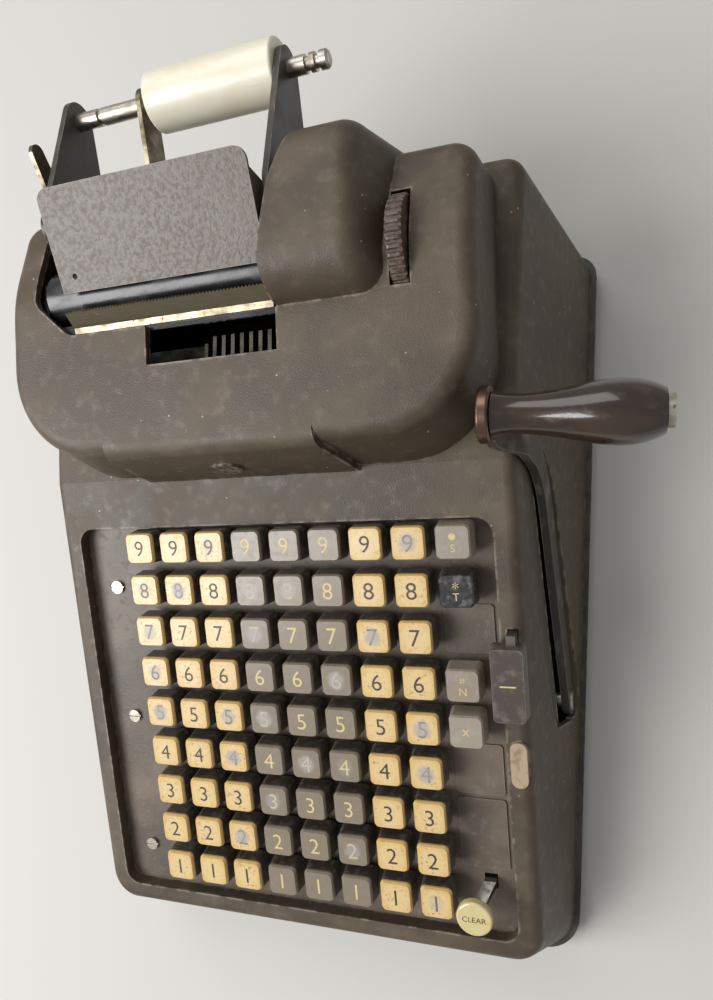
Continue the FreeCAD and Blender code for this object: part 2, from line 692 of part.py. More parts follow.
grip_left = COLLAR_X + COLLAR_THICK + GRIP_GAP
bolt_end = grip_left + GRIP_LENGTH + GRIP_GAP
bolt = rod_x(GRIP_Y, GRIP_Z, BOLT_RADIUS, COLLAR_X, bolt_end)
bolt = bolt.fuse(rod_x(GRIP_Y, GRIP_Z, BOLT_HEAD_RADIUS, bolt_end, bolt_end + BOLT_HEAD))
bolt_slot = box(bolt_end + BOLT_HEAD / 2, bolt_end + 2 * BOLT_HEAD, GRIP_Y - BOLT_SLOT / 2,
                GRIP_Y + BOLT_SLOT / 2, GRIP_Z - 2 * BOLT_HEAD_RADIUS, GRIP_Z + 2 * BOLT_HEAD_RADIUS)
bolt = turned(bolt.cut(bolt_slot))
arm = crank_band(0).common(sheet)
export("crank_shaft", crank_shaft)
collar_seat = turned(rod_x(GRIP_Y, GRIP_Z, COLLAR_RADIUS, COLLAR_X - THROUGH,
                           COLLAR_X + COLLAR_THICK + THROUGH))
export("crank_arm", arm.cut(collar_seat).cut(crank_shaft))
export("crank_collar", collar.cut(bolt))
export("handle_bolt", bolt)

grip_curve = Part.BSplineCurve()
grip_curve.interpolate([V(grip_left + share * GRIP_LENGTH, GRIP_Y, GRIP_Z + radius)
                        for share, radius in GRIP_PROFILE])
grip_start = grip_curve.value(grip_curve.FirstParameter)
grip_stop = grip_curve.value(grip_curve.LastParameter)
bore_z = GRIP_Z + BOLT_RADIUS + RUNNING_GAP
bore_start, bore_stop = V(grip_start.x, GRIP_Y, bore_z), V(grip_stop.x, GRIP_Y, bore_z)
grip_wire = Part.Wire([grip_curve.toShape(), Part.makeLine(grip_stop, bore_stop),
                       Part.makeLine(bore_stop, bore_start), Part.makeLine(bore_start, grip_start)])
grip = Part.Face(grip_wire).revolve(V(grip_left, GRIP_Y, GRIP_Z), X_AXIS, 360)
export("handle_grip", turned(grip))

# Body case: a flared shell with a sunk keyboard opening
case = flared_solid(case_profile(CASE_BOTTOM), side_x)
case = round_corners(case, case_profile(CASE_BOTTOM), side_x, 0, 1, CORNER_FRONT)
case = round_corners(case, case_profile(CASE_BOTTOM), side_x, 3, 4, CORNER_REAR)
case = case.makeFillet(RIM_ROUND, outline_edges(facing_up(case)))
below = CASE_BOTTOM - 2 * WALL
void_profile = inset(case_profile(below), WALL)
void = flared_solid(void_profile, inner_side_x)
void = round_corners(void, void_profile, inner_side_x, 0, 1, CORNER_FRONT - WALL)
void = round_corners(void, void_profile, inner_side_x, 3, 4, CORNER_REAR - WALL)
case = case.cut(void)
skirt = rounded_block(OPENING_LEFT - WALL, OPENING_RIGHT + WALL, OPENING_FRONT - WALL, OPENING_REAR + WALL,
                      WELL_CORNER + WALL, PLATE_Z, RIM_Z - WALL / 2)
case = case.fuse(tilted(skirt))
opening = rounded_block(OPENING_LEFT, OPENING_RIGHT, OPENING_FRONT, OPENING_REAR, WELL_CORNER,
                        PLATE_Z - THROUGH, RIM_Z + THROUGH)
case = case.cut(tilted(opening))
within = flared_solid(case_profile(below), side_x)
for x, y in screw_spots:
    boss = Part.makeCylinder(BOSS_RADIUS, BOSS_HEIGHT, V(x, y, FLOOR_TOP))
    case = case.fuse(boss.common(within))
    case = case.cut(Part.makeCylinder(BASE_SCREW_RADIUS, BASE_SCREW_LENGTH, V(x, y, PAN_BOTTOM)))
# the head stands over this hole
case = case.cut(head_block(WALL + HEAD_LEDGE, SHOULDER_Z - 3 * WALL))
# the crank's arm swings through this slot in the right wall
slot = plate_x([CRANK_PATH[0], (SLOT_FRONT[0], CRANK_Z), SLOT_FRONT, SLOT_NOSE, SLOT_TOP, SLOT_REAR,
                CRANK_KNEE], COLLAR_X - THROUGH, HALF_WIDTH)
swing_room = plate_y([(x - ARM_SIDE_GAP, z) for x, z in sheet_left]
                     + [(HALF_WIDTH, sheet_left[-1][1]), (HALF_WIDTH, sheet_left[0][1])],
                     sheet_front - CRANK_ARM_WIDTH, sheet_rear + CRANK_ARM_WIDTH)
case = case.cut(crank_band(SWING_GAP).fuse(slot).common(swing_room))
bar_x = OPENING_RIGHT + WALL + SLIDE_GAP + BAR_POST_WIDTH / 2


def bar_post(grow, top):
    """The bar key's post, or with grow its hole."""
    return box(bar_x - BAR_POST_WIDTH / 2 - grow, bar_x + BAR_POST_WIDTH / 2 + grow,
               BAR_POST_Y - BAR_POST_DEPTH / 2 - grow, BAR_POST_Y + BAR_POST_DEPTH / 2 + grow,
               RIM_Z - BAR_POST_BELOW_RIM, top)


case = case.cut(tilted(bar_post(SLIDE_GAP, RIM_Z + THROUGH)))
plug_x = OPENING_RIGHT + PLUG_FROM_WELL
plug = tilted(rounded_block(plug_x - PLUG_WIDTH / 2, plug_x + PLUG_WIDTH / 2, PLUG_Y - PLUG_LENGTH / 2,
                            PLUG_Y + PLUG_LENGTH / 2, PLUG_ROUND, RIM_Z - PLUG_DEEP, RIM_Z + PLUG_PROUD))
case = case.cut(plug)
export("body_case", case)
export("slot_plug", plug)

# Keyboard plate with a slot for each stem
plate = rounded_block(OPENING_LEFT - WALL, OPENING_RIGHT + WALL, OPENING_FRONT - WALL, OPENING_REAR + WALL,
                      WELL_CORNER + WALL, PLATE_UNDER, PLATE_Z)


def stem_slot(x, y):
    return box(x - STEM_WIDTH / 2 - SLIDE_GAP, x + STEM_WIDTH / 2 + SLIDE_GAP, y - STEM_THICK / 2 - SLIDE_GAP,
               y + STEM_THICK / 2 + SLIDE_GAP, PLATE_UNDER - THROUGH, PLATE_Z + THROUGH)


CLEAR_POST_X = FRAME_RIGHT_X - KEYS_X - SLIDE_GAP - CLEAR_POST_WIDTH
slots = [stem_slot(*key_place(c, r)) for c in range(1, COLUMNS + 1) for r in range(1, ROWS + 1)]
slots += [stem_slot(FUNCTION_X, key_place(1, row)[1]) for row in FUNCTION_ROWS.values()]
clear_sweep = (PLATE_Z - CLEAR_PIVOT_Z) * math.tan(math.radians(CLEAR_SWING))
slots.append(box(CLEAR_POST_X - SLIDE_GAP, CLEAR_POST_X + CLEAR_POST_WIDTH + SLIDE_GAP,
                 CLEAR_POST_Y - CLEAR_POST_THICK - clear_sweep, CLEAR_POST_Y + CLEAR_POST_THICK,
                 PLATE_UNDER - THROUGH, PLATE_Z + THROUGH))
slots += [Part.makeCylinder(SCREW_RADIUS, PLATE_THICK + 2 * THROUGH, V(PLATE_SCREW_X, y, PLATE_UNDER - THROUGH))
          for y in PLATE_SCREW_Y]
export("keyboard_plate", tilted(plate.cut(Part.makeCompound(slots))))

cover_left = FUNCTION_X - COVER_BEFORE
covers = [tilted(rounded_block(cover_left, cover_left + COVER_WIDTH, y0, y1, COVER_CORNER, PLATE_Z,
                               PLATE_Z + COVER_THICK)) for y0, y1 in COVER_SPANS]
export("blank_covers", *covers)


# Keys: a moulded cap on a flat steel stem
def key_stem(x, y):
    return box(x - STEM_WIDTH / 2, x + STEM_WIDTH / 2, y - STEM_THICK / 2, y + STEM_THICK / 2,
               PLATE_UNDER - STEM_BELOW_PLATE, STEM_IN_CAP - CAP_HEIGHT)


def key_cap(x, y):
    def ring(size, z):
        half = size / 2
        return rounded_wire(x - half, x + half, y - half, y + half, CAP_CORNER, z)
    rings = [ring(CAP_BASE, -CAP_HEIGHT), ring(CAP_TOP + CAP_EDGE, -CAP_EDGE), ring(CAP_TOP, 0)]
    return Part.makeLoft(rings, True, True).cut(key_stem(x, y))


for row in range(1, ROWS + 1):
    places = [key_place(column, row) for column in range(1, COLUMNS + 1)]
    export("key_caps_row_%d" % row, *[tilted(key_cap(x, y)) for x, y in places])
    export("key_stems_row_%d" % row, *[tilted(key_stem(x, y)) for x, y in places])
for name, row in FUNCTION_ROWS.items():
    y = key_place(1, row)[1]
    export(name + "_key_cap", tilted(key_cap(FUNCTION_X, y)))
    export(name + "_key_stem", tilted(key_stem(FUNCTION_X, y)))

# Bar key on the right rim
bar_left = OPENING_RIGHT - BAR_OVER_WELL
bar_rear = BAR_FRONT + BAR_LENGTH
bar_wires = [rounded_wire(bar_left, bar_left + BAR_WIDTH, BAR_FRONT, bar_rear, CAP_CORNER, BAR_BOTTOM),
             rounded_wire(bar_left + BAR_TAPER, bar_left + BAR_WIDTH - BAR_TAPER, BAR_FRONT + BAR_TAPER,
                          bar_rear - BAR_TAPER, CAP_CORNER, BAR_BOTTOM + BAR_HEIGHT)]
post = bar_post(0, BAR_BOTTOM + BAR_POST_IN)
export("minus_bar", tilted(Part.makeLoft(bar_wires, True, True).cut(post)))
export("minus_bar_stem", tilted(post))

# Clearing lever and its round button, on a pin in the right frame
button = Part.makeCylinder(CLEAR_RADIUS, CLEAR_THICK, V(CLEAR_X, CLEAR_Y, CLEAR_BOTTOM))
button = button.makeFillet(CLEAR_ROUND, button.Edges)
post_right = CLEAR_POST_X + CLEAR_POST_WIDTH
post_front, post_rear = CLEAR_POST_Y - CLEAR_POST_THICK / 2, CLEAR_POST_Y + CLEAR_POST_THICK / 2
bend_z = PLATE_Z + CLEAR_BEND
upright = box(CLEAR_POST_X, post_right, post_front, post_rear, CLEAR_PIVOT_Z, bend_z)
eye = rod_x(CLEAR_POST_Y, CLEAR_PIVOT_Z, CLEAR_EYE_RADIUS, CLEAR_POST_X, post_right)
slant = prism([V(CLEAR_POST_X, post_front, bend_z), V(post_right, post_front, bend_z),
               V(post_right, post_rear, bend_z), V(CLEAR_POST_X, post_rear, bend_z)],
              V(CLEAR_X - CLEAR_POST_WIDTH / 2 - CLEAR_POST_X, CLEAR_Y - CLEAR_POST_Y, CLEAR_BOTTOM - bend_z))
lever = upright.fuse(eye).fuse(slant)
lever = lever.cut(rod_x(CLEAR_POST_Y, CLEAR_PIVOT_Z, CLEAR_PIVOT_RADIUS + RUNNING_GAP, CLEAR_POST_X - THROUGH,
                        post_right + THROUGH))
export("clear_lever", tilted(lever.cut(button).removeSplitter()))
export("clear_button", tilted(button))


# Side frames and the rods between them
def frame_plate(x):
    front_top = at_keys(0, OPENING_FRONT + WALL, PLATE_UNDER)
    rear_top = at_keys(0, OPENING_REAR, PLATE_UNDER)
    tower_front = HEAD_FRONT_Y + HEAD_CORNER
    rear = STAND_ROD[0] + 2 * ROD_RADIUS
    outline = [(front_top.y, FLOOR_TOP), (front_top.y, front_top.z), (rear_top.y, rear_top.z),
               (tower_front, rear_top.z), (tower_front, rear_top.z + FRAME_TOWER),
               (PLATEN_Y - 2 * FRAME_LUG, PLATEN_Z + FRAME_LUG), (PLATEN_Y + FRAME_LUG, PLATEN_Z + FRAME_LUG),
               (rear, STAND_ROD[1] + ROD_RADIUS), (rear, FLOOR_TOP)]
    return plate_x(outline, x, x + FRAME_THICK)


ROD_PLACES = (FRONT_ROD, MIDDLE_ROD, STAND_ROD, COUNTER_ROD)
rods = [rod_x(y, z, ROD_RADIUS, RODS_LEFT, RODS_RIGHT) for y, z in ROD_PLACES]
stand_rod = rods[ROD_PLACES.index(STAND_ROD)]
clear_pivot = at_keys(CLEAR_POST_X, CLEAR_POST_Y, CLEAR_PIVOT_Z)
clear_pin = rod_x(clear_pivot.y, clear_pivot.z, CLEAR_PIVOT_RADIUS, clear_pivot.x - SHAFT_PROUD, RODS_RIGHT)
plate_screws = []
screw_shanks = []
for y in PLATE_SCREW_Y:
    shank = Part.makeCylinder(SCREW_RADIUS, SCREW_LENGTH, V(PLATE_SCREW_X, y, PLATE_Z - SCREW_LENGTH))
    screw_head = Part.makeCylinder(SCREW_HEAD_RADIUS, SCREW_HEAD, V(PLATE_SCREW_X, y, PLATE_Z))
    slot = box(PLATE_SCREW_X - SCREW_HEAD_RADIUS, PLATE_SCREW_X + SCREW_HEAD_RADIUS, y - SCREW_SLOT / 2,
               y + SCREW_SLOT / 2, PLATE_Z + SCREW_HEAD / 2, PLATE_Z + 2 * SCREW_HEAD)
    screw_shanks.append(tilted(shank))
    plate_screws.append(tilted(shank.fuse(screw_head).cut(slot)))
base_screws = []
for x, y in screw_spots:
    shank = Part.makeCylinder(BASE_SCREW_RADIUS, BASE_SCREW_LENGTH, V(x, y, PAN_BOTTOM))
    head_foot = V(x, y, PAN_BOTTOM - BASE_SCREW_HEAD)
    screw_head = Part.makeCylinder(BASE_SCREW_HEAD_RADIUS, BASE_SCREW_HEAD, head_foot)
    base_screws.append(shank.fuse(screw_head))
export("case_screws", *plate_screws, *base_screws)

frames = []
for x in (FRAME_LEFT_X, FRAME_RIGHT_X):
    frame = frame_plate(x).cut(Part.makeCompound(rods + [clear_pin]))
    for y, z, radius in ((PLATEN_Y, PLATEN_Z, SHAFT_RADIUS), (CRANK_Y, CRANK_Z, CRANK_SHAFT_RADIUS)):
        frame = frame.cut(rod_x(y, z, radius + RUNNING_GAP, x - THROUGH, x + FRAME_THICK + THROUGH))
    frames.append(frame.cut(Part.makeCompound(screw_shanks)))
export("side_frames", *frames)
export("frame_rods", *rods, clear_pin)

# Type bars in their comb, and the counting wheels on their rod
TYPE_Y = WINDOW_FRONT_Y + TYPE_FROM_WINDOW
type_top = DECK_FRONT_Z - TYPE_BELOW_DECK
type_bottom = type_top - TYPE_LENGTH
guide_bottom = type_bottom + GUIDE_UP
guide = box(FRAME_LEFT_X + FRAME_THICK, FRAME_RIGHT_X, TYPE_Y - GUIDE_DEPTH / 2, TYPE_Y + GUIDE_DEPTH / 2,
            guide_bottom, guide_bottom + GUIDE_HEIGHT)
type_bars = []
for index in range(TYPE_COUNT):
    x = TYPE_X + index * TYPE_PITCH
    top_z = type_top - (TYPE_SHORT_DROP if index < TYPE_SHORT else 0)
    type_bars.append(box(x - TYPE_THICK / 2, x + TYPE_THICK / 2, TYPE_Y - TYPE_DEPTH / 2,
                         TYPE_Y + TYPE_DEPTH / 2, type_bottom, top_z))
    guide = guide.cut(box(x - TYPE_THICK / 2 - SLIDE_GAP, x + TYPE_THICK / 2 + SLIDE_GAP,
                          TYPE_Y - TYPE_DEPTH / 2 - SLIDE_GAP, TYPE_Y + TYPE_DEPTH / 2 + SLIDE_GAP,
                          guide_bottom - THROUGH, guide_bottom + GUIDE_HEIGHT + THROUGH))
export("type_bars", *type_bars)
export("type_guide", guide)

wheels = []
for index in range(COLUMNS):
    x = (index - (COLUMNS - 1) / 2) * COUNTER_PITCH - COUNTER_THICK / 2
    wheel = rod_x(*COUNTER_ROD, COUNTER_RADIUS, x, x + COUNTER_THICK)
    wheel = wheel.cut(rod_x(*COUNTER_ROD, ROD_RADIUS + RUNNING_GAP, x - THROUGH, x + COUNTER_THICK + THROUGH))
    for tooth in range(COUNTER_TEETH):
        angle = 2 * math.pi * tooth / COUNTER_TEETH
        notch_y = COUNTER_ROD[0] + COUNTER_RADIUS * math.cos(angle)
        notch_z = COUNTER_ROD[1] + COUNTER_RADIUS * math.sin(angle)
        wheel = wheel.cut(rod_x(notch_y, notch_z, COUNTER_NOTCH, x - THROUGH, x + COUNTER_THICK + THROUGH))
    wheels.append(wheel)
export("counter_wheels", *wheels)

# Platen, its shaft and its ribbed thumb wheel
shaft = rod_x(PLATEN_Y, PLATEN_Z, SHAFT_RADIUS, RODS_LEFT - SHAFT_PROUD, RODS_RIGHT + SHAFT_PROUD)
roller = rod_x(PLATEN_Y, PLATEN_Z, PLATEN_RADIUS, PLATEN_LEFT, PLATEN_RIGHT).cut(shaft)
thumb = rod_x(PLATEN_Y, PLATEN_Z, WHEEL_RADIUS, WHEEL_LEFT, WHEEL_LEFT + WHEEL_WIDTH)
thumb = thumb.makeFillet(WHEEL_ROUND, [e for e in thumb.Edges if len(e.Vertexes) == 1])
grooves = []
for rib in range(WHEEL_RIBS):
    angle = 2 * math.pi * rib / WHEEL_RIBS
    groove_y = PLATEN_Y + WHEEL_RADIUS * math.cos(angle)
    groove_z = PLATEN_Z + WHEEL_RADIUS * math.sin(angle)
    grooves.append(rod_x(groove_y, groove_z, WHEEL_RIB_DEPTH, WHEEL_LEFT - THROUGH,
                         WHEEL_LEFT + WHEEL_WIDTH + THROUGH))
export("platen_shaft", shaft)
export("platen_roller", roller)
export("platen_thumbwheel", thumb.cut(Part.makeCompound(grooves)).cut(shaft))

# Guide strip under the recess's front edge, with the toothed tear bar along it
DECK_SLANT = math.sqrt(1 + DECK_RISE ** 2)


def under_deck(y):
    return deck_z(y) - WALL * DECK_SLANT


strip_drop = STRIP_THICK * DECK_SLANT
strip = plate_x([(STRIP_FRONT_Y, under_deck(STRIP_FRONT_Y)), (STRIP_REAR_Y, under_deck(STRIP_REAR_Y)),
                 (STRIP_REAR_Y, under_deck(STRIP_REAR_Y) - strip_drop),
                 (STRIP_FRONT_Y, under_deck(STRIP_FRONT_Y) - strip_drop)], STRIP_LEFT, STRIP_RIGHT)
strip = strip.cut(box(WINDOW_LEFT, WINDOW_RIGHT, STRIP_FRONT_Y - THROUGH, RECESS_FRONT_Y - THROUGH,
                      SHOULDER_Z, CREST_Z))
export("paper_guide", strip)

tear_up = V(0, math.sin(math.radians(TEAR_LEAN)), math.cos(math.radians(TEAR_LEAN)))
tear_out = V(0, -tear_up.z, tear_up.y)
tear_foot = V(TEAR_LEFT, STRIP_REAR_Y - TEAR_THICK, under_deck(STRIP_REAR_Y) + TEAR_THICK)
tear_step = (TEAR_RIGHT - TEAR_LEFT) / TEAR_TEETH
teeth = []
for tooth in range(TEAR_TEETH):
    x = tooth * tear_step
    teeth += [(x, TEAR_WIDTH - TEAR_TOOTH), (x + tear_step / 2, TEAR_WIDTH)]
teeth.append((TEAR_RIGHT - TEAR_LEFT, TEAR_WIDTH - TEAR_TOOTH))
tear_outline = [tear_foot] + [tear_foot + X_AXIS * x + tear_up * up for x, up in teeth]
tear_outline.append(tear_foot + X_AXIS * (TEAR_RIGHT - TEAR_LEFT))
tear = prism(tear_outline, tear_out * TEAR_THICK)
seat_front = STRIP_REAR_Y - TEAR_SEAT
seat = plate_x([(seat_front, under_deck(seat_front)), (STRIP_REAR_Y, under_deck(STRIP_REAR_Y)),
                (STRIP_REAR_Y, under_deck(STRIP_REAR_Y) + 2 * TEAR_THICK),
                (seat_front, under_deck(seat_front) + TEAR_THICK)], TEAR_LEFT, TEAR_RIGHT)
export("tear_bar", tear.fuse(seat).removeSplitter())

# Paper table, with two ears down to the stand rod
table_y, table_foot_z = PLATEN_Y - TABLE_AHEAD, PLATEN_Z + TABLE_ABOVE_PLATEN
table = rounded_block(TABLE_LEFT, TABLE_RIGHT, 0, TABLE_LENGTH, TABLE_CORNER, 0, TABLE_THICK)
table = table.fuse(box(TABLE_LEFT, TABLE_RIGHT, 0, 2 * TABLE_CORNER, 0, TABLE_THICK))
table = table.cut(Part.makeCylinder(TABLE_HOLE_RADIUS, 2 * TABLE_THICK,
                                    V(TABLE_LEFT + TABLE_HOLE_IN, TABLE_HOLE_UP, -TABLE_THICK / 2)))
table.rotate(ORIGIN, X_AXIS, TABLE_ANGLE)
table.translate(V(0, table_y, table_foot_z))


def table_z(y):
    """The height of the middle of the table's sheet."""
    return table_foot_z + TABLE_THICK / 2 + (y - table_y) * math.tan(math.radians(TABLE_ANGLE))


ear_front, ear_rear = STAND_ROD[0] - TABLE_EAR_FRONT, STAND_ROD[0] + TABLE_EAR_REAR
ear_foot = STAND_ROD[1] - TABLE_EAR_FOOT
ear = [(ear_front, ear_foot), (ear_front, table_z(ear_front)),
       (ear_rear, table_z(ear_rear)), (ear_rear, ear_foot)]
for x in (TABLE_LEFT, TABLE_RIGHT - TABLE_EAR):
    table = table.fuse(plate_x(ear, x, x + TABLE_EAR))
export("paper_table", table.cut(stand_rod).removeSplitter())


# Roll stand: two three-cornered arms, a rod, a keeper and the paper's core
def tapered_link(start, start_radius, end, end_radius, x0, x1):
    """A flat link round two eyes, with straight sides that touch both circles."""
    dy, dz = end[0] - start[0], end[1] - start[1]
    along = math.atan2(dz, dy)
    spread = math.acos((start_radius - end_radius) / math.hypot(dy, dz))
    points = []
    for angle, centre, radius in ((along + spread, start, start_radius), (along + spread, end, end_radius),
                                  (along - spread, end, end_radius), (along - spread, start, start_radius)):
        points.append((centre[0] + radius * math.cos(angle), centre[1] + radius * math.sin(angle)))
    link = plate_x(points, x0, x1)
    return link.fuse(rod_x(*start, start_radius, x0, x1)).fuse(rod_x(*end, end_radius, x0, x1))


def from_stand(back, up):
    return STAND_ROD[0] + back, STAND_ROD[1] + up


roll_rod = rod_x(*ROLL, ROLL_ROD_RADIUS, ROLL_ROD_LEFT, ROLL_ROD_RIGHT)
roll_rod = roll_rod.makeChamfer(ROD_CHAMFER, [e for e in roll_rod.Edges if len(e.Vertexes) == 1])
for x in ROD_GROOVES:
    ring = rod_x(*ROLL, 2 * ROLL_ROD_RADIUS, x, x + ROD_GROOVE_WIDTH)
    ring = ring.cut(rod_x(*ROLL, ROLL_ROD_RADIUS - ROD_GROOVE_DEPTH, x - THROUGH,
                          x + ROD_GROOVE_WIDTH + THROUGH))
    roll_rod = roll_rod.cut(ring)
export("roll_rod", roll_rod)
rod_hole = rod_x(*ROLL, ROLL_ROD_RADIUS, ROLL_ROD_LEFT - THROUGH, ROLL_ROD_RIGHT + THROUGH)
arms = []
for x in (ARM_LEFT_X, ARM_RIGHT_X):
    corners = [(STAND_ROD, ARM_ROOT_RADIUS), (from_stand(*ARM_SHOULDER), ARM_SHOULDER_RADIUS),
               (ROLL, ARM_END_RADIUS)]
    roll_arm = plate_x([centre for centre, radius in corners], x, x + ARM_THICK)
    for index, corner in enumerate(corners):
        roll_arm = roll_arm.fuse(tapered_link(*corner, *corners[index - 1], x, x + ARM_THICK))
    arms.append(roll_arm.cut(stand_rod).cut(rod_hole).removeSplitter())
export("roll_arms", *arms)
core = rod_x(*ROLL, CORE_RADIUS, CORE_LEFT, CORE_RIGHT)
core = core.makeFillet(CORE_ROUND, [e for e in core.Edges if len(e.Vertexes) == 1])
core_bore = rod_x(*ROLL, ROLL_ROD_RADIUS + CORE_BORE_GAP, CORE_LEFT - THROUGH, CORE_RIGHT + THROUGH)
export("roll_core", core.cut(core_bore))
keeper = tapered_link(STAND_ROD, KEEPER_ROOT_RADIUS, ROLL, KEEPER_END_RADIUS, KEEPER_X, KEEPER_X + KEEPER_THICK)
web = []
for back, drop in ((KEEPER_WEB_FROM, 0), (KEEPER_WEB_TO, 0),
                   (KEEPER_WEB_TO, KEEPER_THICK), (KEEPER_WEB_FROM, KEEPER_THICK)):
    web.append(from_stand(back, back * ROLL_UP / ROLL_BACK - KEEPER_WEB_DROP - drop))
keeper = keeper.fuse(plate_x(web, KEEPER_X, KEEPER_X + KEEPER_WEB_WIDTH))
export("roll_keeper", keeper.cut(stand_rod).cut(rod_hole).removeSplitter())

# Paper release lever, turning on the stand rod
release = tapered_link(STAND_ROD, RELEASE_ROOT_RADIUS, from_stand(*RELEASE_TIP), RELEASE_TIP_RADIUS,
                       RELEASE_X, RELEASE_X + RELEASE_THICK)
release = release.cut(rod_x(*STAND_ROD, ROD_RADIUS + RUNNING_GAP, RELEASE_X - THROUGH,
                            RELEASE_X + RELEASE_THICK + THROUGH))
export("paper_release_lever", release.removeSplitter())
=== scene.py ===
import math

import bpy
import numpy as np
from mathutils import Matrix, Vector


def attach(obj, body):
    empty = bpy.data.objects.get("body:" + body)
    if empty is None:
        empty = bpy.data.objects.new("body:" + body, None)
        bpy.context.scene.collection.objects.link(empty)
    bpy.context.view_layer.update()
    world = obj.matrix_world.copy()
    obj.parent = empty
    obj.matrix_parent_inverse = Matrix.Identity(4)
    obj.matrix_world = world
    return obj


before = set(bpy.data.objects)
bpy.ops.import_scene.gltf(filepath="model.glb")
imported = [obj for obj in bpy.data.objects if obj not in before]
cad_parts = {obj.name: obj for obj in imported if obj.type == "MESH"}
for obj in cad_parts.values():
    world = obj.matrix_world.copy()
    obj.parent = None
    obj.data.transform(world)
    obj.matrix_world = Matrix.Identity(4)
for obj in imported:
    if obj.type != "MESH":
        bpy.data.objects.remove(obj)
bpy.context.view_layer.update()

# Base pan and feet.
# The pan is pressed steel in black enamel that closes the case from below, dull with handling,
# and stands on four moulded rubber feet.


class Surface:
    """One socket of a material: sums on it add Math nodes, and make adds any other node."""

    def __init__(self, tree, socket=None):
        self.tree = tree
        self.socket = socket

    def feed(self, target, value):
        """Gives a socket a link or a plain value."""
        if isinstance(value, Surface):
            self.tree.links.new(value.socket, target)
        else:
            target.default_value = value

    def make(self, kind, settings=None, sockets=None, output=0):
        """Adds a node: its settings first, then what its sockets take."""
        node = self.tree.nodes.new(kind)
        for name, value in (settings or {}).items():
            setattr(node, name, value)
        for name, value in (sockets or {}).items():
            self.feed(node.inputs[name], value)
        return Surface(self.tree, node.outputs[output])

    def math(self, operation, first, second=0.0):
        return self.make("ShaderNodeMath", {"operation": operation}, {0: first, 1: second})

    def __add__(self, other):
        return self.math("ADD", self, other)

    def __radd__(self, other):
        return self.math("ADD", other, self)

    def __sub__(self, other):
        return self.math("SUBTRACT", self, other)

    def __rsub__(self, other):
        return self.math("SUBTRACT", other, self)

    def __mul__(self, other):
        return self.math("MULTIPLY", self, other)

    def __rmul__(self, other):
        return self.math("MULTIPLY", other, self)


def new_finish(name, **constants):
    """A material with its shader's plain values set, and the place of each point on the piece, in metres."""
    material = bpy.data.materials.new(name)
    material.use_nodes = True
    shader = material.node_tree.nodes["Principled BSDF"]
    for key, value in constants.items():
        shader.inputs[key.replace("_", " ").title().replace("Ior", "IOR")].default_value = value
    place = Surface(material.node_tree).make("ShaderNodeTexCoord", output="Object")
    return material, shader, place


def mottle(place, size, detail=3.0, stretch=(1.0, 1.0, 1.0)):
    """Cloudy noise from 0 to 1 whose patches are about size metres wide."""
    scaled = place.make("ShaderNodeMapping", None, {"Vector": place, "Scale": stretch})
    return place.make("ShaderNodeTexNoise", None, {"Vector": scaled, "Scale": 1 / size, "Detail": detail})


def between(value, low, high):
    """0 below low, 1 above high and a smooth rise from one to the other."""
    return value.make("ShaderNodeMapRange", {"interpolation_type": "SMOOTHSTEP"},
                      {"Value": value, "From Min": low, "From Max": high})


def tint(mask, first, second):
    """The first colour where mask is 0 and the second where it is 1."""
    colours = [c if isinstance(c, Surface) else (*c, 1.0) for c in (first, second)]
    return mask.make("ShaderNodeMix", {"data_type": "RGBA"}, {0: mask, 6: colours[0], 7: colours[1]}, 2)


def rise(shader, height, depth):
    """Bumps on the surface: height runs from 0 to 1 and depth is what 1 stands for, in metres."""
    normal = height.make("ShaderNodeBump", None, {"Height": height, "Distance": depth}, "Normal")
    height.feed(shader.inputs["Normal"], normal)


def worn_edges(place, radius):
    """0 on flat ground, rising to 1 on an edge sharper than radius: how far a softened normal turns away."""
    soft = place.make("ShaderNodeBevel", {"samples": 6}, {"Radius": radius})
    sharp = place.make("ShaderNodeNewGeometry", output="Normal")
    facing = place.make("ShaderNodeVectorMath", {"operation": "DOT_PRODUCT"}, {0: soft, 1: sharp}, "Value")
    return between(1.0 - facing, 0.01, 0.12)


def dress(material, *names):
    """Puts a finish on pieces that the frame brought."""
    for name in names:
        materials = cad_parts[name].data.materials
        materials.clear()
        materials.append(material)


ENAMEL = (0.030, 0.025, 0.021)
ENAMEL_DUST = (0.095, 0.080, 0.066)
ENAMEL_WORN = (0.20, 0.165, 0.135)
enamel, shader, place = new_finish("black_enamel", coat_weight=0.15, coat_roughness=0.35)
enamel_film = between(mottle(place, 0.009, 5.0), 0.42, 0.75)
enamel_chips = worn_edges(place, 0.0007) * between(mottle(place, 0.004, 4.0), 0.40, 0.62)
enamel_colour = tint(enamel_chips, tint(enamel_film, ENAMEL, ENAMEL_DUST), ENAMEL_WORN)
place.feed(shader.inputs["Base Color"], enamel_colour)
place.feed(shader.inputs["Roughness"], 0.42 + 0.30 * enamel_film)
rise(shader, mottle(place, 0.0011, 2.0), 0.00006)
dress(enamel, "base_pan")

RUBBER = (0.018, 0.017, 0.016)
RUBBER_GREY = (0.070, 0.066, 0.062)
rubber, shader, place = new_finish("foot_rubber", specular_ior_level=0.35)
rubber_bloom = between(mottle(place, 0.004, 5.0), 0.40, 0.75)
place.feed(shader.inputs["Base Color"], tint(rubber_bloom, RUBBER, RUBBER_GREY))
place.feed(shader.inputs["Roughness"], 0.62 + 0.25 * rubber_bloom)
rise(shader, mottle(place, 0.0008, 3.0), 0.00008)
dress(rubber, "rubber_feet")

# Case and head cover.
# Pressed and cast shells in stoved brown crinkle paint. Its skin is finely pebbled, rubbed paler in
# clouds where arms rest, dusty on top, flecked with specks and worn through to primer on sharp edges.


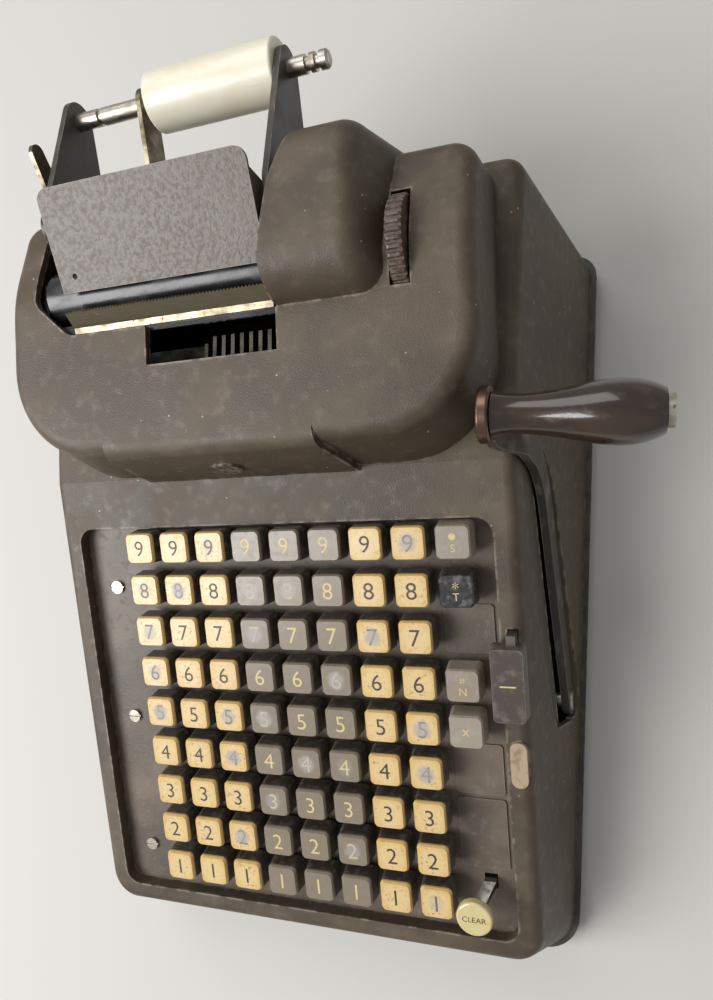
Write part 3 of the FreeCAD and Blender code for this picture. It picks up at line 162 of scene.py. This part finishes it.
def pebbles(place, size):
    """Distance from the nearest of scattered points about size metres apart, 0 at a point."""
    return place.make("ShaderNodeTexVoronoi", None, {"Vector": place, "Scale": 1 / size}, "Distance")


CRINKLE = (0.084, 0.060, 0.038)
CRINKLE_DARK = (0.056, 0.040, 0.025)
CRINKLE_RUBBED = (0.154, 0.117, 0.079)
CRINKLE_DUST = (0.200, 0.158, 0.109)
CRINKLE_EDGE = (0.34, 0.28, 0.22)
FLECK = (0.60, 0.56, 0.48)
PEBBLE = 0.00055
crinkle, shader, place = new_finish("crinkle_paint", specular_ior_level=0.55)
facing = place.make("ShaderNodeSeparateXYZ", None,
                    {0: place.make("ShaderNodeNewGeometry", output="Normal")}, "Z")
clouds = between(mottle(place, 0.040, 4.0), 0.35, 0.68)
rubs = between(mottle(place, 0.0050, 6.0), 0.50, 0.80)
settled = between(facing, 0.35, 0.95) * between(mottle(place, 0.022, 6.0), 0.40, 0.70)
fleck_places = 1.0 - between(pebbles(place, 0.0060), 0.045, 0.085)
flecks = fleck_places * between(mottle(place, 0.015, 1.0), 0.50, 0.58)
edge_wear = worn_edges(place, 0.0020) * between(mottle(place, 0.005, 4.0), 0.42, 0.62)
paint_colour = tint(clouds, CRINKLE_DARK, CRINKLE)
paint_colour = tint(0.35 * rubs, paint_colour, CRINKLE_RUBBED)
paint_colour = tint(0.30 * settled, paint_colour, CRINKLE_DUST)
paint_colour = tint(0.75 * edge_wear, paint_colour, CRINKLE_EDGE)
paint_colour = tint(0.65 * flecks, paint_colour, FLECK)
place.feed(shader.inputs["Base Color"], paint_colour)
place.feed(shader.inputs["Roughness"], 0.50 + 0.16 * settled - 0.12 * rubs)
rise(shader, 0.6 * pebbles(place, PEBBLE) + 0.5 * mottle(place, PEBBLE / 2, 2.0), 0.00010)
dress(crinkle, "body_case", "head_cover")

# Paper table.
# A bent sheet behind the platen in the same brown paint, thinner and rubbed by paper, so that it is
# greyer, blotched with small pale scales and brighter along its cut edge.

TABLE_PAINT = (0.105, 0.081, 0.067)
TABLE_SCALE = (0.165, 0.137, 0.119)
table_paint, shader, place = new_finish("table_paint", specular_ior_level=0.6)
scales = between(mottle(place, 0.0018, 5.0), 0.40, 0.74)
table_clouds = between(mottle(place, 0.018, 3.0), 0.35, 0.70)
table_edge = worn_edges(place, 0.0006)
table_colour = tint(scales * (0.35 + 0.5 * table_clouds), TABLE_PAINT, TABLE_SCALE)
table_colour = tint(0.6 * table_edge, table_colour, CRINKLE_EDGE)
place.feed(shader.inputs["Base Color"], table_colour)
place.feed(shader.inputs["Roughness"], 0.40 + 0.20 * scales)
rise(shader, mottle(place, 0.0011, 4.0) + 0.5 * scales, 0.00014)
dress(table_paint, "paper_table")

# Slot plug.
# A pill of pinkish cream plastic pressed into the unused slot on the right rim, grimy at its border.

PLUG = (0.42, 0.32, 0.215)
PLUG_GRIME = (0.15, 0.105, 0.070)
plug_plastic, shader, place = new_finish("plug_plastic", coat_weight=0.2, coat_roughness=0.25)
plug_grime = between(mottle(place, 0.0035, 5.0), 0.48, 0.72)
place.feed(shader.inputs["Base Color"], tint(0.7 * plug_grime, PLUG, PLUG_GRIME))
place.feed(shader.inputs["Roughness"], 0.32 + 0.3 * plug_grime)
rise(shader, mottle(place, 0.0012, 3.0), 0.00004)
dress(plug_plastic, "slot_plug")

# Keyboard plate and blank covers.
# Flat steel sheet in smooth brown paint, sunk below the rim. Dust and lint gather between the keys
# and the hidden middle is darker than the open left margin.

PLATE = (0.170, 0.131, 0.098)
PLATE_DARK = (0.092, 0.073, 0.057)
PLATE_DUST = (0.215, 0.185, 0.150)
plate_paint, shader, place = new_finish("plate_paint", specular_ior_level=0.5)
plate_film = between(mottle(place, 0.028, 5.0), 0.34, 0.70)
lint = between(mottle(place, 0.0042, 6.0), 0.55, 0.74)
plate_specks = 1.0 - between(pebbles(place, 0.0048), 0.05, 0.10)
plate_edge = worn_edges(place, 0.0006)
plate_colour = tint(plate_film, PLATE_DARK, PLATE)
plate_colour = tint(0.45 * lint + 0.25 * plate_specks, plate_colour, PLATE_DUST)
plate_colour = tint(0.5 * plate_edge, plate_colour, CRINKLE_EDGE)
place.feed(shader.inputs["Base Color"], plate_colour)
place.feed(shader.inputs["Roughness"], 0.46 + 0.25 * lint)
rise(shader, mottle(place, 0.0016, 3.0) + lint, 0.00009)
dress(plate_paint, "keyboard_plate", "blank_covers")

# Frames, rods and screws inside the case.
# Side plates, the comb for the type bars and the counting wheels in zinc painted nearly black as shade,
# with turned steel rods and nickel screws between them. The plating is dull, cloudy and spotted with rust.

# The zinc colours are painted shade: nearly black, standing in for the shade inside the case.
ZINC_PAINTED_SHADE = (0.115, 0.108, 0.098)
ZINC_DULL_PAINTED_SHADE = (0.045, 0.042, 0.038)
STEEL = (0.53, 0.51, 0.47)
STEEL_DULL = (0.30, 0.275, 0.24)
NICKEL = (0.62, 0.58, 0.51)
NICKEL_DULL = (0.36, 0.32, 0.26)
RUST = (0.115, 0.055, 0.026)
BRUSHED_ACROSS = (0.08, 1.0, 1.0)


def plated_steel(name, bright, dull, rust_from, brush=(1.0, 1.0, 1.0)):
    """Plated steel: a bright and a dull grey in clouds, fine scratches along brush, and rust spots."""
    material, shader, place = new_finish(name)
    haze = between(mottle(place, 0.006, 5.0), 0.35, 0.72)
    scratches = mottle(place, 0.0006, 2.0, brush)
    rust = between(mottle(place, 0.0045, 6.0), rust_from, rust_from + 0.12)
    place.feed(shader.inputs["Base Color"], tint(rust, tint(haze, bright, dull), RUST))
    place.feed(shader.inputs["Metallic"], 1.0 - 0.85 * rust)
    place.feed(shader.inputs["Roughness"], 0.22 + 0.22 * haze + 0.12 * scratches + 0.25 * rust)
    rise(shader, scratches + 0.8 * rust, 0.00003)
    return material


zinc_in_painted_shade = plated_steel("zinc_plate_painted_shade", ZINC_PAINTED_SHADE, ZINC_DULL_PAINTED_SHADE, 0.66)
turned_steel = plated_steel("turned_steel", STEEL, STEEL_DULL, 0.68, BRUSHED_ACROSS)
nickel = plated_steel("nickel_plate", NICKEL, NICKEL_DULL, 0.70)
dress(zinc_in_painted_shade, "side_frames", "type_guide", "counter_wheels")
dress(turned_steel, "frame_rods", "platen_shaft", "crank_shaft")
dress(nickel, "case_screws")

# Key stems.
# Flat steel blades stamped from strip, one under each key, darkened by oil and dust in the dense rows.

BLADE = (0.26, 0.245, 0.22)
BLADE_OIL = (0.11, 0.10, 0.085)
BRUSHED_UP = (1.0, 1.0, 0.1)
ROWS = range(1, 10)
FUNCTION_KEYS = ("subtotal", "total", "non_add", "repeat")
blade_steel = plated_steel("blade_steel", BLADE, BLADE_OIL, 0.62, BRUSHED_UP)
dress(blade_steel, *("key_stems_row_%d" % row for row in ROWS))
dress(blade_steel, *(key + "_key_stem" for key in FUNCTION_KEYS), "minus_bar_stem")

# Number keys.
# Moulded in two shots: a brown-grey body, and in five of the eight columns a cream top let into it.
# Fingers have stained the cream and worn the middles of the most used tops, with a painted grey sheen.

KEY_TILT = math.radians(14.0)
KEY_PITCH = 0.0175
ROW_PITCH = 0.019
KEY_COLUMNS = 8
BROWN_FROM = -1.0 * KEY_PITCH
BROWN_TO = 2.0 * KEY_PITCH
COLUMN_SEAM = 0.01 * KEY_PITCH
MIDDLE_ROW = 5
GRID_CENTRE = np.array((0.003, -0.057, 0.085))
KEY_ACROSS = np.array((1.0, 0.0, 0.0))
KEY_UP_SLOPE = np.array((0.0, math.cos(KEY_TILT), math.sin(KEY_TILT)))
KEY_OUT = np.array((0.0, -math.sin(KEY_TILT), math.cos(KEY_TILT)))
CREAM_DEPTH = 0.0017
CREAM_SEAM = 0.0002
CREAM = (0.64, 0.435, 0.170)
CREAM_PALE = (0.68, 0.505, 0.245)
CREAM_STAIN = (0.34, 0.175, 0.055)
KEY_BROWN = (0.064, 0.051, 0.041)
# The brown keys' tops are painted paler than their sides: a painted sheen on the top faces.
KEY_BROWN_SHEEN_TOP = (0.225, 0.185, 0.136)
# Grey of worn spots, which is also a painted sheen where it lies on the worn middles of key tops.
WORN_SHEEN_GREY = (0.36, 0.34, 0.335)


def along(place, direction):
    """How far each point lies from the middle of the key grid in that direction, in metres."""
    moved = place.make("ShaderNodeVectorMath", {"operation": "SUBTRACT"}, {0: place, 1: tuple(GRID_CENTRE)})
    return place.make("ShaderNodeVectorMath", {"operation": "DOT_PRODUCT"}, {0: moved, 1: tuple(direction)},
                      "Value")


def key_marks(place):
    """Masks that repeat from key to key: brown columns, worn middles with a painted sheen, and nearness to a
    key's rim.
    """
    across = along(place, KEY_ACROSS)
    column = across * (1 / KEY_PITCH) + KEY_COLUMNS / 2
    row = along(place, KEY_UP_SLOPE) * (1 / ROW_PITCH) + (MIDDLE_ROW - 0.5)
    brown = between(across, BROWN_FROM - COLUMN_SEAM, BROWN_FROM + COLUMN_SEAM)
    brown = brown * (1.0 - between(across, BROWN_TO - COLUMN_SEAM, BROWN_TO + COLUMN_SEAM))
    cell = place.make("ShaderNodeCombineXYZ", None,
                      {"X": place.math("FLOOR", column), "Y": place.math("FLOOR", row)})
    chance = place.make("ShaderNodeTexWhiteNoise", {"noise_dimensions": "3D"}, {"Vector": cell}, "Value")
    offset = place.make("ShaderNodeCombineXYZ", None, {"X": place.math("FRACT", column) - 0.5,
                                                       "Y": place.math("FRACT", row) - 0.5})
    reach = place.make("ShaderNodeVectorMath", {"operation": "LENGTH"}, {0: offset}, "Value")
    ragged = reach + 0.16 * mottle(place, 0.0022, 3.0)
    # Worn middles of random key tops, which also carry a painted grey sheen.
    worn_sheen = (1.0 - between(ragged, 0.20, 0.34)) * between(chance, 0.62, 0.82)
    return brown, worn_sheen, between(reach, 0.24, 0.40)


key_plastic, shader, place = new_finish("key_plastic", coat_weight=0.35, coat_roughness=0.18)
brown_column, worn_sheen, near_rim = key_marks(place)
top = between(along(place, KEY_OUT), -CREAM_DEPTH - CREAM_SEAM, -CREAM_DEPTH)
stain_share = 0.25 + 0.55 * between(mottle(place, 0.012, 2.0), 0.4, 0.65)
stain = between(mottle(place, 0.0014, 5.0), 0.52, 0.70) * stain_share
grime = between(mottle(place, 0.0028, 5.0), 0.45, 0.72)
cream = tint(near_rim, tint(stain, CREAM_PALE, CREAM_STAIN), tint(0.5 * stain, CREAM, CREAM_STAIN))
# Top faces of the brown keys: painted sheen, lighter than the sides of the same plastic.
brown_sheen_top = tint(0.35 * grime, KEY_BROWN_SHEEN_TOP, PLATE_DUST)
face = tint(0.80 * worn_sheen, tint(brown_column, cream, brown_sheen_top), WORN_SHEEN_GREY)
place.feed(shader.inputs["Base Color"], tint(top, tint(0.5 * grime, KEY_BROWN, PLATE_DUST), face))
place.feed(shader.inputs["Roughness"], 0.30 + 0.25 * worn_sheen + 0.18 * grime)
rise(shader, mottle(place, 0.0020, 4.0) + 0.6 * worn_sheen * mottle(place, 0.0006, 2.0), 0.00006)
dress(key_plastic, *("key_caps_row_%d" % row for row in ROWS))

# Numerals.
# Rounded figures filled with paint: dark brown on the cream tops and straw yellow on the brown ones,
# thinned away on the worn middles under the painted grey sheen.

FIGURE_HEIGHT = 0.0068
PAINT_THICK = 0.00005
LETTER_SWELL = -0.004
DARK_FIGURE = (0.050, 0.040, 0.033)
STRAW_FIGURE = (0.62, 0.50, 0.24)
figure_paint, shader, place = new_finish("figure_paint")
brown_column, worn_sheen, near_rim = key_marks(place)
chipped = between(mottle(place, 0.0011, 4.0), 0.50, 0.68)
figure_colour = tint(brown_column, DARK_FIGURE, STRAW_FIGURE)
figure_colour = tint(0.75 * worn_sheen + 0.15 * chipped, figure_colour, WORN_SHEEN_GREY)
place.feed(shader.inputs["Base Color"], figure_colour)
place.feed(shader.inputs["Roughness"], 0.42 + 0.2 * chipped)
rise(shader, chipped, 0.00003)


def letter_shape(words, height):
    """Flat letters about the origin: corners as an array in metres, and the faces that join them."""
    text = bpy.data.curves.new("letters", "FONT")
    text.body = words
    text.offset = LETTER_SWELL
    text.align_x = "CENTER"
    text.align_y = "CENTER"
    holder = bpy.data.objects.new("letters", text)
    bpy.context.scene.collection.objects.link(holder)
    flat = bpy.data.meshes.new_from_object(holder.evaluated_get(bpy.context.evaluated_depsgraph_get()))
    corners = np.empty(3 * len(flat.vertices))
    flat.vertices.foreach_get("co", corners)
    corners = corners.reshape(-1, 3)
    faces = [tuple(face.vertices) for face in flat.polygons]
    bpy.data.objects.remove(holder)
    bpy.data.meshes.remove(flat)
    middle = (corners.min(0) + corners.max(0)) / 2
    return (corners - middle) * height / np.ptp(corners[:, 1]), faces


def lay_marks(name, marks, material, body):
    """Painted marks as one piece: each shape goes to its place on a face, point = root + x*right + y*up."""
    points = []
    faces = []
    for (corners, joins), root, right, up in marks:
        shift = sum(len(p) for p in points)
        points.append(root + np.outer(corners[:, 0], right) + np.outer(corners[:, 1], up))
        faces += [tuple(index + shift for index in join) for join in joins]
    mesh = bpy.data.meshes.new(name)
    mesh.from_pydata(np.concatenate(points).tolist(), [], faces)
    mesh.materials.append(material)
    piece = bpy.data.objects.new(name, mesh)
    bpy.context.scene.collection.objects.link(piece)
    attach(piece, body)


for row in ROWS:
    figure = letter_shape(str(row), FIGURE_HEIGHT)
    row_centre = GRID_CENTRE + (row - MIDDLE_ROW) * ROW_PITCH * KEY_UP_SLOPE + PAINT_THICK * KEY_OUT
    columns = [(column - (KEY_COLUMNS - 1) / 2) * KEY_PITCH for column in range(KEY_COLUMNS)]
    row_marks = [(figure, row_centre + x * KEY_ACROSS, KEY_ACROSS, KEY_UP_SLOPE) for x in columns]
    lay_marks("numerals_row_%d" % row, row_marks, figure_paint, "keys_row_%d" % row)

# Function keys.
# One-shot caps in the ninth column, brown-grey except the black total key, with straw marks: a dot
# over S, a star over T, a hash over N, and a plain cross for repeat.

FUNCTION_X = 0.07875
MARK_HEIGHT = 0.0030
SIGN_HEIGHT = 0.0027
MARK_LIFT = 0.00225
CAP_TOP_FADE = 0.0003
SUBTOTAL_GREY = (0.300, 0.262, 0.205)
KEY_BLACK = (0.016, 0.016, 0.017)
NON_ADD_BROWN = (0.285, 0.240, 0.182)
REPEAT_GREY = (0.320, 0.280, 0.222)
FUNCTION_LOOKS = {"subtotal": (9, SUBTOTAL_GREY, "•", "S"),
                  "total": (8, KEY_BLACK, "*", "T"),
                  "non_add": (6, NON_ADD_BROWN, "#", "N"),
                  "repeat": (5, REPEAT_GREY, "x", "")}


def cap_plastic(name, colour):
    """Moulded cap: its own colour, dull sides full of grime and a top scuffed pale in the middle, partly a
    painted sheen.
    """
    material, shader, place = new_finish(name, coat_weight=0.4, coat_roughness=0.16)
    grime = between(mottle(place, 0.0025, 5.0), 0.45, 0.72)
    scuffs = between(mottle(place, 0.0045, 5.0), 0.52, 0.70)
    top = between(along(place, KEY_OUT), -CREAM_DEPTH, -CAP_TOP_FADE)
    shade = tint(0.35 * grime * (1.0 - 0.6 * top), colour, PLATE_DUST)
    place.feed(shader.inputs["Base Color"], tint(0.25 * top * scuffs, shade, WORN_SHEEN_GREY))
    place.feed(shader.inputs["Roughness"], 0.26 + 0.25 * scuffs + 0.15 * grime)
    rise(shader, mottle(place, 0.0020, 4.0), 0.00005)
    return material


straw_paint, shader, place = new_finish("straw_paint")
straw_wear = between(mottle(place, 0.0012, 4.0), 0.52, 0.70)
place.feed(shader.inputs["Base Color"], tint(0.6 * straw_wear, STRAW_FIGURE, WORN_SHEEN_GREY))
place.feed(shader.inputs["Roughness"], 0.42 + 0.2 * straw_wear)
rise(shader, straw_wear, 0.00003)
for key, (row, colour, sign, letter) in FUNCTION_LOOKS.items():
    dress(cap_plastic(key + "_plastic", colour), key + "_key_cap")
    key_centre = GRID_CENTRE + FUNCTION_X * KEY_ACROSS + (row - MIDDLE_ROW) * ROW_PITCH * KEY_UP_SLOPE
    key_centre = key_centre + PAINT_THICK * KEY_OUT
    lift = MARK_LIFT if letter else 0.0
    sign_shape = letter_shape(sign, SIGN_HEIGHT)
    key_signs = [(sign_shape, key_centre + lift * KEY_UP_SLOPE, KEY_ACROSS, KEY_UP_SLOPE)]
    if letter:
        key_signs.append((letter_shape(letter, MARK_HEIGHT), key_centre - lift * KEY_UP_SLOPE,
                          KEY_ACROSS, KEY_UP_SLOPE))
    lay_marks(key + "_marks", key_signs, straw_paint, key + "_key")

# Minus bar.
# The long bar key on the right rim, moulded in polished brown plastic, hand-worn along its edges, with
# one painted stroke across its middle.

BAR_BROWN = (0.070, 0.054, 0.046)
BAR_SCUFF = (0.205, 0.180, 0.165)
STROKE_LENGTH = 0.0060
STROKE_WIDTH = 0.0006
bar_plastic, shader, place = new_finish("bar_plastic", coat_weight=0.3, coat_roughness=0.22)
bar_scuffs = between(mottle(place, 0.0050, 6.0), 0.46, 0.70)
bar_edges = worn_edges(place, 0.0010)
bar_colour = tint(0.45 * bar_scuffs + 0.4 * bar_edges, BAR_BROWN, BAR_SCUFF)
place.feed(shader.inputs["Base Color"], bar_colour)
place.feed(shader.inputs["Roughness"], 0.30 + 0.25 * bar_scuffs)
rise(shader, mottle(place, 0.0022, 4.0), 0.00005)
dress(bar_plastic, "minus_bar")


def face_middle(node):
    """The middle of a piece's top face, measured in the key grid's own directions, a paint film above it."""
    corners = np.array([corner.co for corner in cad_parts[node].data.vertices]) - GRID_CENTRE
    across = corners @ KEY_ACROSS
    slope = corners @ KEY_UP_SLOPE
    middle = (across.min() + across.max()) / 2 * KEY_ACROSS + (slope.min() + slope.max()) / 2 * KEY_UP_SLOPE
    return GRID_CENTRE + middle + ((corners @ KEY_OUT).max() + PAINT_THICK) * KEY_OUT


bar_middle = face_middle("minus_bar")
unit_square = np.array([(-1, -1, 0), (1, -1, 0), (1, 1, 0), (-1, 1, 0)])
stroke = (unit_square * (STROKE_LENGTH / 2, STROKE_WIDTH / 2, 0), [(0, 1, 2, 3)])
lay_marks("minus_bar_stroke", [(stroke, bar_middle, KEY_ACROSS, KEY_UP_SLOPE)],
          straw_paint, "minus_key")

# Clear lever and button.
# A bent steel strip carries a round cream button at the front right corner. The button is polished,
# yellowed at its border and lettered in black.

BUTTON_CREAM = (0.62, 0.54, 0.28)
BUTTON_YELLOW = (0.60, 0.42, 0.14)
WORD_BLACK = (0.022, 0.020, 0.018)
BUTTON_WORD = "CLEAR"
WORD_HEIGHT = 0.0023
button_plastic, shader, place = new_finish("button_plastic", coat_weight=0.5, coat_roughness=0.12)
yellowing = between(mottle(place, 0.0040, 4.0), 0.42, 0.70)
button_pits = between(mottle(place, 0.0010, 4.0), 0.62, 0.74)
button_colour = tint(0.6 * yellowing + 0.3 * button_pits, BUTTON_CREAM, BUTTON_YELLOW)
place.feed(shader.inputs["Base Color"], button_colour)
place.feed(shader.inputs["Roughness"], 0.22 + 0.2 * yellowing)
rise(shader, mottle(place, 0.0018, 3.0), 0.00004)
dress(button_plastic, "clear_button")
dress(blade_steel, "clear_lever")
word_paint, shader, place = new_finish("word_paint")
word_wear = between(mottle(place, 0.0009, 4.0), 0.55, 0.72)
place.feed(shader.inputs["Base Color"], tint(0.5 * word_wear, WORD_BLACK, BUTTON_YELLOW))
place.feed(shader.inputs["Roughness"], 0.40 + 0.2 * word_wear)
rise(shader, word_wear, 0.00002)
word = letter_shape(BUTTON_WORD, WORD_HEIGHT)
lay_marks("clear_button_word", [(word, face_middle("clear_button"), KEY_ACROSS, KEY_UP_SLOPE)],
          word_paint, "clear_key")

# Badge.
# A small oval of cast metal on the front of the head, left bare, browned over with a bright rubbed crown.

BADGE_BROWN = (0.115, 0.092, 0.072)
BADGE_RUBBED = (0.40, 0.35, 0.29)
badge_metal, shader, place = new_finish("badge_metal", metallic=0.6)
badge_rub = between(mottle(place, 0.0022, 4.0), 0.45, 0.66)
place.feed(shader.inputs["Base Color"], tint(0.7 * badge_rub, BADGE_BROWN, BADGE_RUBBED))
place.feed(shader.inputs["Roughness"], 0.48 - 0.14 * badge_rub)
rise(shader, mottle(place, 0.0012, 3.0), 0.00008)
dress(badge_metal, "name_badge")

# Type bars, platen and paper guides.
# Hardened type bars stand in the window behind the deck, oily steel darkened further as painted shade.
# The platen is ground black rubber on its shaft, a toothed strip of yellowed nickel tears the paper, and
# a black strip guides it below.

# The type bar colours are oily steel, darkened further as painted shade inside the window.
TYPE_STEEL_PAINTED_SHADE = (0.120, 0.108, 0.088)
TYPE_OIL_AND_SHADE = (0.040, 0.036, 0.030)
TYPE_BRUSH = (1.0, 1.0, 0.15)
PLATEN_BLACK = (0.012, 0.012, 0.013)
PLATEN_GREY = (0.050, 0.050, 0.054)
TEAR_NICKEL = (0.27, 0.235, 0.165)
TEAR_TARNISH = (0.17, 0.142, 0.095)
TEAR_BRUSH = (0.1, 1.0, 1.0)
WHEEL_BROWN = (0.070, 0.042, 0.030)
WHEEL_DUST = (0.205, 0.165, 0.130)
dress(plated_steel("type_steel_painted_shade", TYPE_STEEL_PAINTED_SHADE, TYPE_OIL_AND_SHADE, 0.66, TYPE_BRUSH), "type_bars")
platen_rubber, shader, place = new_finish("platen_rubber", coat_weight=0.25, coat_roughness=0.2)
platen_dust = between(mottle(place, 0.0060, 5.0, (0.4, 1.0, 1.0)), 0.45, 0.75)
place.feed(shader.inputs["Base Color"], tint(platen_dust, PLATEN_BLACK, PLATEN_GREY))
place.feed(shader.inputs["Roughness"], 0.26 + 0.30 * platen_dust)
rise(shader, mottle(place, 0.0012, 3.0, (0.2, 1.0, 1.0)), 0.00004)
dress(platen_rubber, "platen_roller", "paper_guide")
dress(plated_steel("tear_nickel", TEAR_NICKEL, TEAR_TARNISH, 0.64, TEAR_BRUSH), "tear_bar")
wheel_plastic, shader, place = new_finish("wheel_plastic", coat_weight=0.3, coat_roughness=0.2)
wheel_dust = between(mottle(place, 0.0022, 5.0), 0.48, 0.70)
wheel_edges = worn_edges(place, 0.0005)
wheel_colour = tint(0.5 * wheel_dust + 0.35 * wheel_edges, WHEEL_BROWN, WHEEL_DUST)
place.feed(shader.inputs["Base Color"], wheel_colour)
place.feed(shader.inputs["Roughness"], 0.32 + 0.3 * wheel_dust)
rise(shader, mottle(place, 0.0014, 4.0), 0.00006)
dress(wheel_plastic, "platen_thumbwheel")

# Roll stand.
# Black stamped arms and a bent keeper hold a grooved nickel rod, on which the ivory plastic core of
# the paper roll turns. The release lever beside it is tarnished nickel like the keeper.

CORE_IVORY = (0.82, 0.785, 0.64)
CORE_AGED = (0.66, 0.565, 0.36)
CORE_GLOW = (0.004, 0.003, 0.002)
KEEPER_NICKEL = (0.24, 0.205, 0.145)
KEEPER_TARNISH = (0.10, 0.080, 0.052)
dress(enamel, "roll_arms")
dress(nickel, "roll_rod")
aged_nickel = plated_steel("aged_nickel", KEEPER_NICKEL, KEEPER_TARNISH, 0.64)
dress(aged_nickel, "roll_keeper", "paper_release_lever")
core_plastic, shader, place = new_finish("core_plastic", subsurface_weight=0.15, coat_weight=0.3,
                                         coat_roughness=0.2)
shader.inputs["Subsurface Radius"].default_value = CORE_GLOW
ageing = between(mottle(place, 0.012, 4.0, (0.5, 1.0, 1.0)), 0.40, 0.72)
core_scratch = between(mottle(place, 0.0016, 4.0, (0.15, 1.0, 1.0)), 0.62, 0.74)
place.feed(shader.inputs["Base Color"], tint(0.45 * ageing + 0.25 * core_scratch, CORE_IVORY, CORE_AGED))
place.feed(shader.inputs["Roughness"], 0.30 + 0.2 * ageing)
rise(shader, core_scratch + 0.5 * mottle(place, 0.003, 3.0), 0.00004)
dress(core_plastic, "roll_core")

# Crank.
# A steel arm, browned and rubbed bright at its edges, swings in the slot of the right wall. At its end
# a coppery collar and a slotted shoulder bolt carry a turned grip of polished brown bakelite.

ARM_BROWN = (0.060, 0.048, 0.040)
ARM_BARE = (0.30, 0.26, 0.22)
COPPER = (0.19, 0.120, 0.085)
COPPER_DARK = (0.085, 0.052, 0.038)
BAKELITE = (0.036, 0.019, 0.011)
BAKELITE_DARK = (0.017, 0.009, 0.006)
BAKELITE_HAZE = (0.070, 0.048, 0.036)
arm_steel, shader, place = new_finish("arm_steel")
arm_rub = between(mottle(place, 0.0055, 5.0, (1.0, 0.5, 0.5)), 0.50, 0.72)
arm_edges = worn_edges(place, 0.0008)
arm_bare = place.math("MAXIMUM", 0.55 * arm_rub, 0.8 * arm_edges)
place.feed(shader.inputs["Base Color"], tint(arm_bare, ARM_BROWN, ARM_BARE))
place.feed(shader.inputs["Metallic"], 0.15 + 0.7 * arm_bare)
place.feed(shader.inputs["Roughness"], 0.48 - 0.14 * arm_bare)
rise(shader, mottle(place, 0.0014, 4.0), 0.00006)
dress(arm_steel, "crank_arm")
dress(plated_steel("collar_copper", COPPER, COPPER_DARK, 0.66), "crank_collar")
dress(nickel, "handle_bolt")
bakelite, shader, place = new_finish("grip_bakelite", coat_weight=0.8, coat_roughness=0.06)
swirl = between(mottle(place, 0.010, 5.0, (0.5, 1.0, 1.0)), 0.35, 0.70)
grip_haze = between(mottle(place, 0.0035, 5.0, (0.6, 1.0, 1.0)), 0.55, 0.75)
grip_colour = tint(0.35 * grip_haze, tint(swirl, BAKELITE_DARK, BAKELITE), BAKELITE_HAZE)
place.feed(shader.inputs["Base Color"], grip_colour)
place.feed(shader.inputs["Roughness"], 0.20 + 0.22 * grip_haze)
rise(shader, mottle(place, 0.006, 3.0), 0.00004)
dress(bakelite, "handle_grip")

# Floor, light and camera.
# A plain pale floor under soft studio light: one large lamp high at the front left, a small one
# behind and an even room. The camera hangs above the right side, tilted as in the photograph.

FLOOR_HALF = 3.0
FLOOR_CELLS = 4
FLOOR_GREY = (0.60, 0.585, 0.56)
FLOOR_SHADE = (0.5, 0.49, 0.47)
ROOM_COLOUR = (1.0, 0.985, 0.96, 1.0)
ROOM_STRENGTH = 0.38
KEY_LAMP = ((-0.85, -0.28, 1.12), 0.9, 20.5)
REAR_LAMP = ((-0.3, 0.9, 1.1), 0.8, 4.0)
AIM = Vector((0.0, 0.0, 0.07))
CAMERA_SPOT = Vector((0.1381, 0.0066, 0.3714))
CAMERA_RIGHT = Vector((0.943, -0.008, -0.333))
CAMERA_UP = Vector((0.040, 0.995, 0.089))
LENS = 25.92
SENSOR_WIDTH = 36.0
NEAREST = 0.01
floor_grid = np.linspace(-FLOOR_HALF, FLOOR_HALF, FLOOR_CELLS + 1)
floor_x, floor_y = np.meshgrid(floor_grid, floor_grid)
floor_points = np.stack((floor_x.ravel(), floor_y.ravel(), np.zeros(floor_x.size)), 1)
line = FLOOR_CELLS + 1
cell_roots = [row * line + column for row in range(FLOOR_CELLS) for column in range(FLOOR_CELLS)]
floor_faces = [(root, root + 1, root + line + 1, root + line) for root in cell_roots]
floor_mesh = bpy.data.meshes.new("floor")
floor_mesh.from_pydata(floor_points.tolist(), [], floor_faces)
floor = bpy.data.objects.new("floor", floor_mesh)
bpy.context.scene.collection.objects.link(floor)
floor_paint, shader, place = new_finish("floor_paint", specular_ior_level=0.2)
floor_clouds = mottle(place, 0.5, 2.0)
place.feed(shader.inputs["Base Color"], tint(0.1 * floor_clouds, FLOOR_GREY, FLOOR_SHADE))
place.feed(shader.inputs["Roughness"], 0.8 + 0.1 * floor_clouds)
floor_mesh.materials.append(floor_paint)

world = bpy.data.worlds.new("studio")
world.use_nodes = True
background = world.node_tree.nodes["Background"]
background.inputs["Color"].default_value = ROOM_COLOUR
background.inputs["Strength"].default_value = ROOM_STRENGTH
bpy.context.scene.world = world
for lamp_name, (spot, size, watts) in {"key_lamp": KEY_LAMP, "fill_lamp": REAR_LAMP}.items():
    lamp = bpy.data.lights.new(lamp_name, "AREA")
    lamp.size = size
    lamp.energy = watts
    lamp_object = bpy.data.objects.new(lamp_name, lamp)
    lamp_object.location = spot
    lamp_object.rotation_euler = (AIM - Vector(spot)).to_track_quat("-Z", "Y").to_euler()
    bpy.context.scene.collection.objects.link(lamp_object)

camera_back = CAMERA_RIGHT.cross(CAMERA_UP).normalized()
camera_right = CAMERA_UP.cross(camera_back).normalized()
camera_up = camera_back.cross(camera_right)
camera_data = bpy.data.cameras.new("camera")
camera_data.lens = LENS
camera_data.sensor_width = SENSOR_WIDTH
camera_data.clip_start = NEAREST
camera = bpy.data.objects.new("camera", camera_data)
turn = Matrix((camera_right, camera_up, camera_back)).transposed().to_4x4()
camera.matrix_world = Matrix.Translation(CAMERA_SPOT) @ turn
bpy.context.scene.collection.objects.link(camera)
bpy.context.scene.camera = camera
bpy.context.scene.view_settings.view_transform = "Standard"
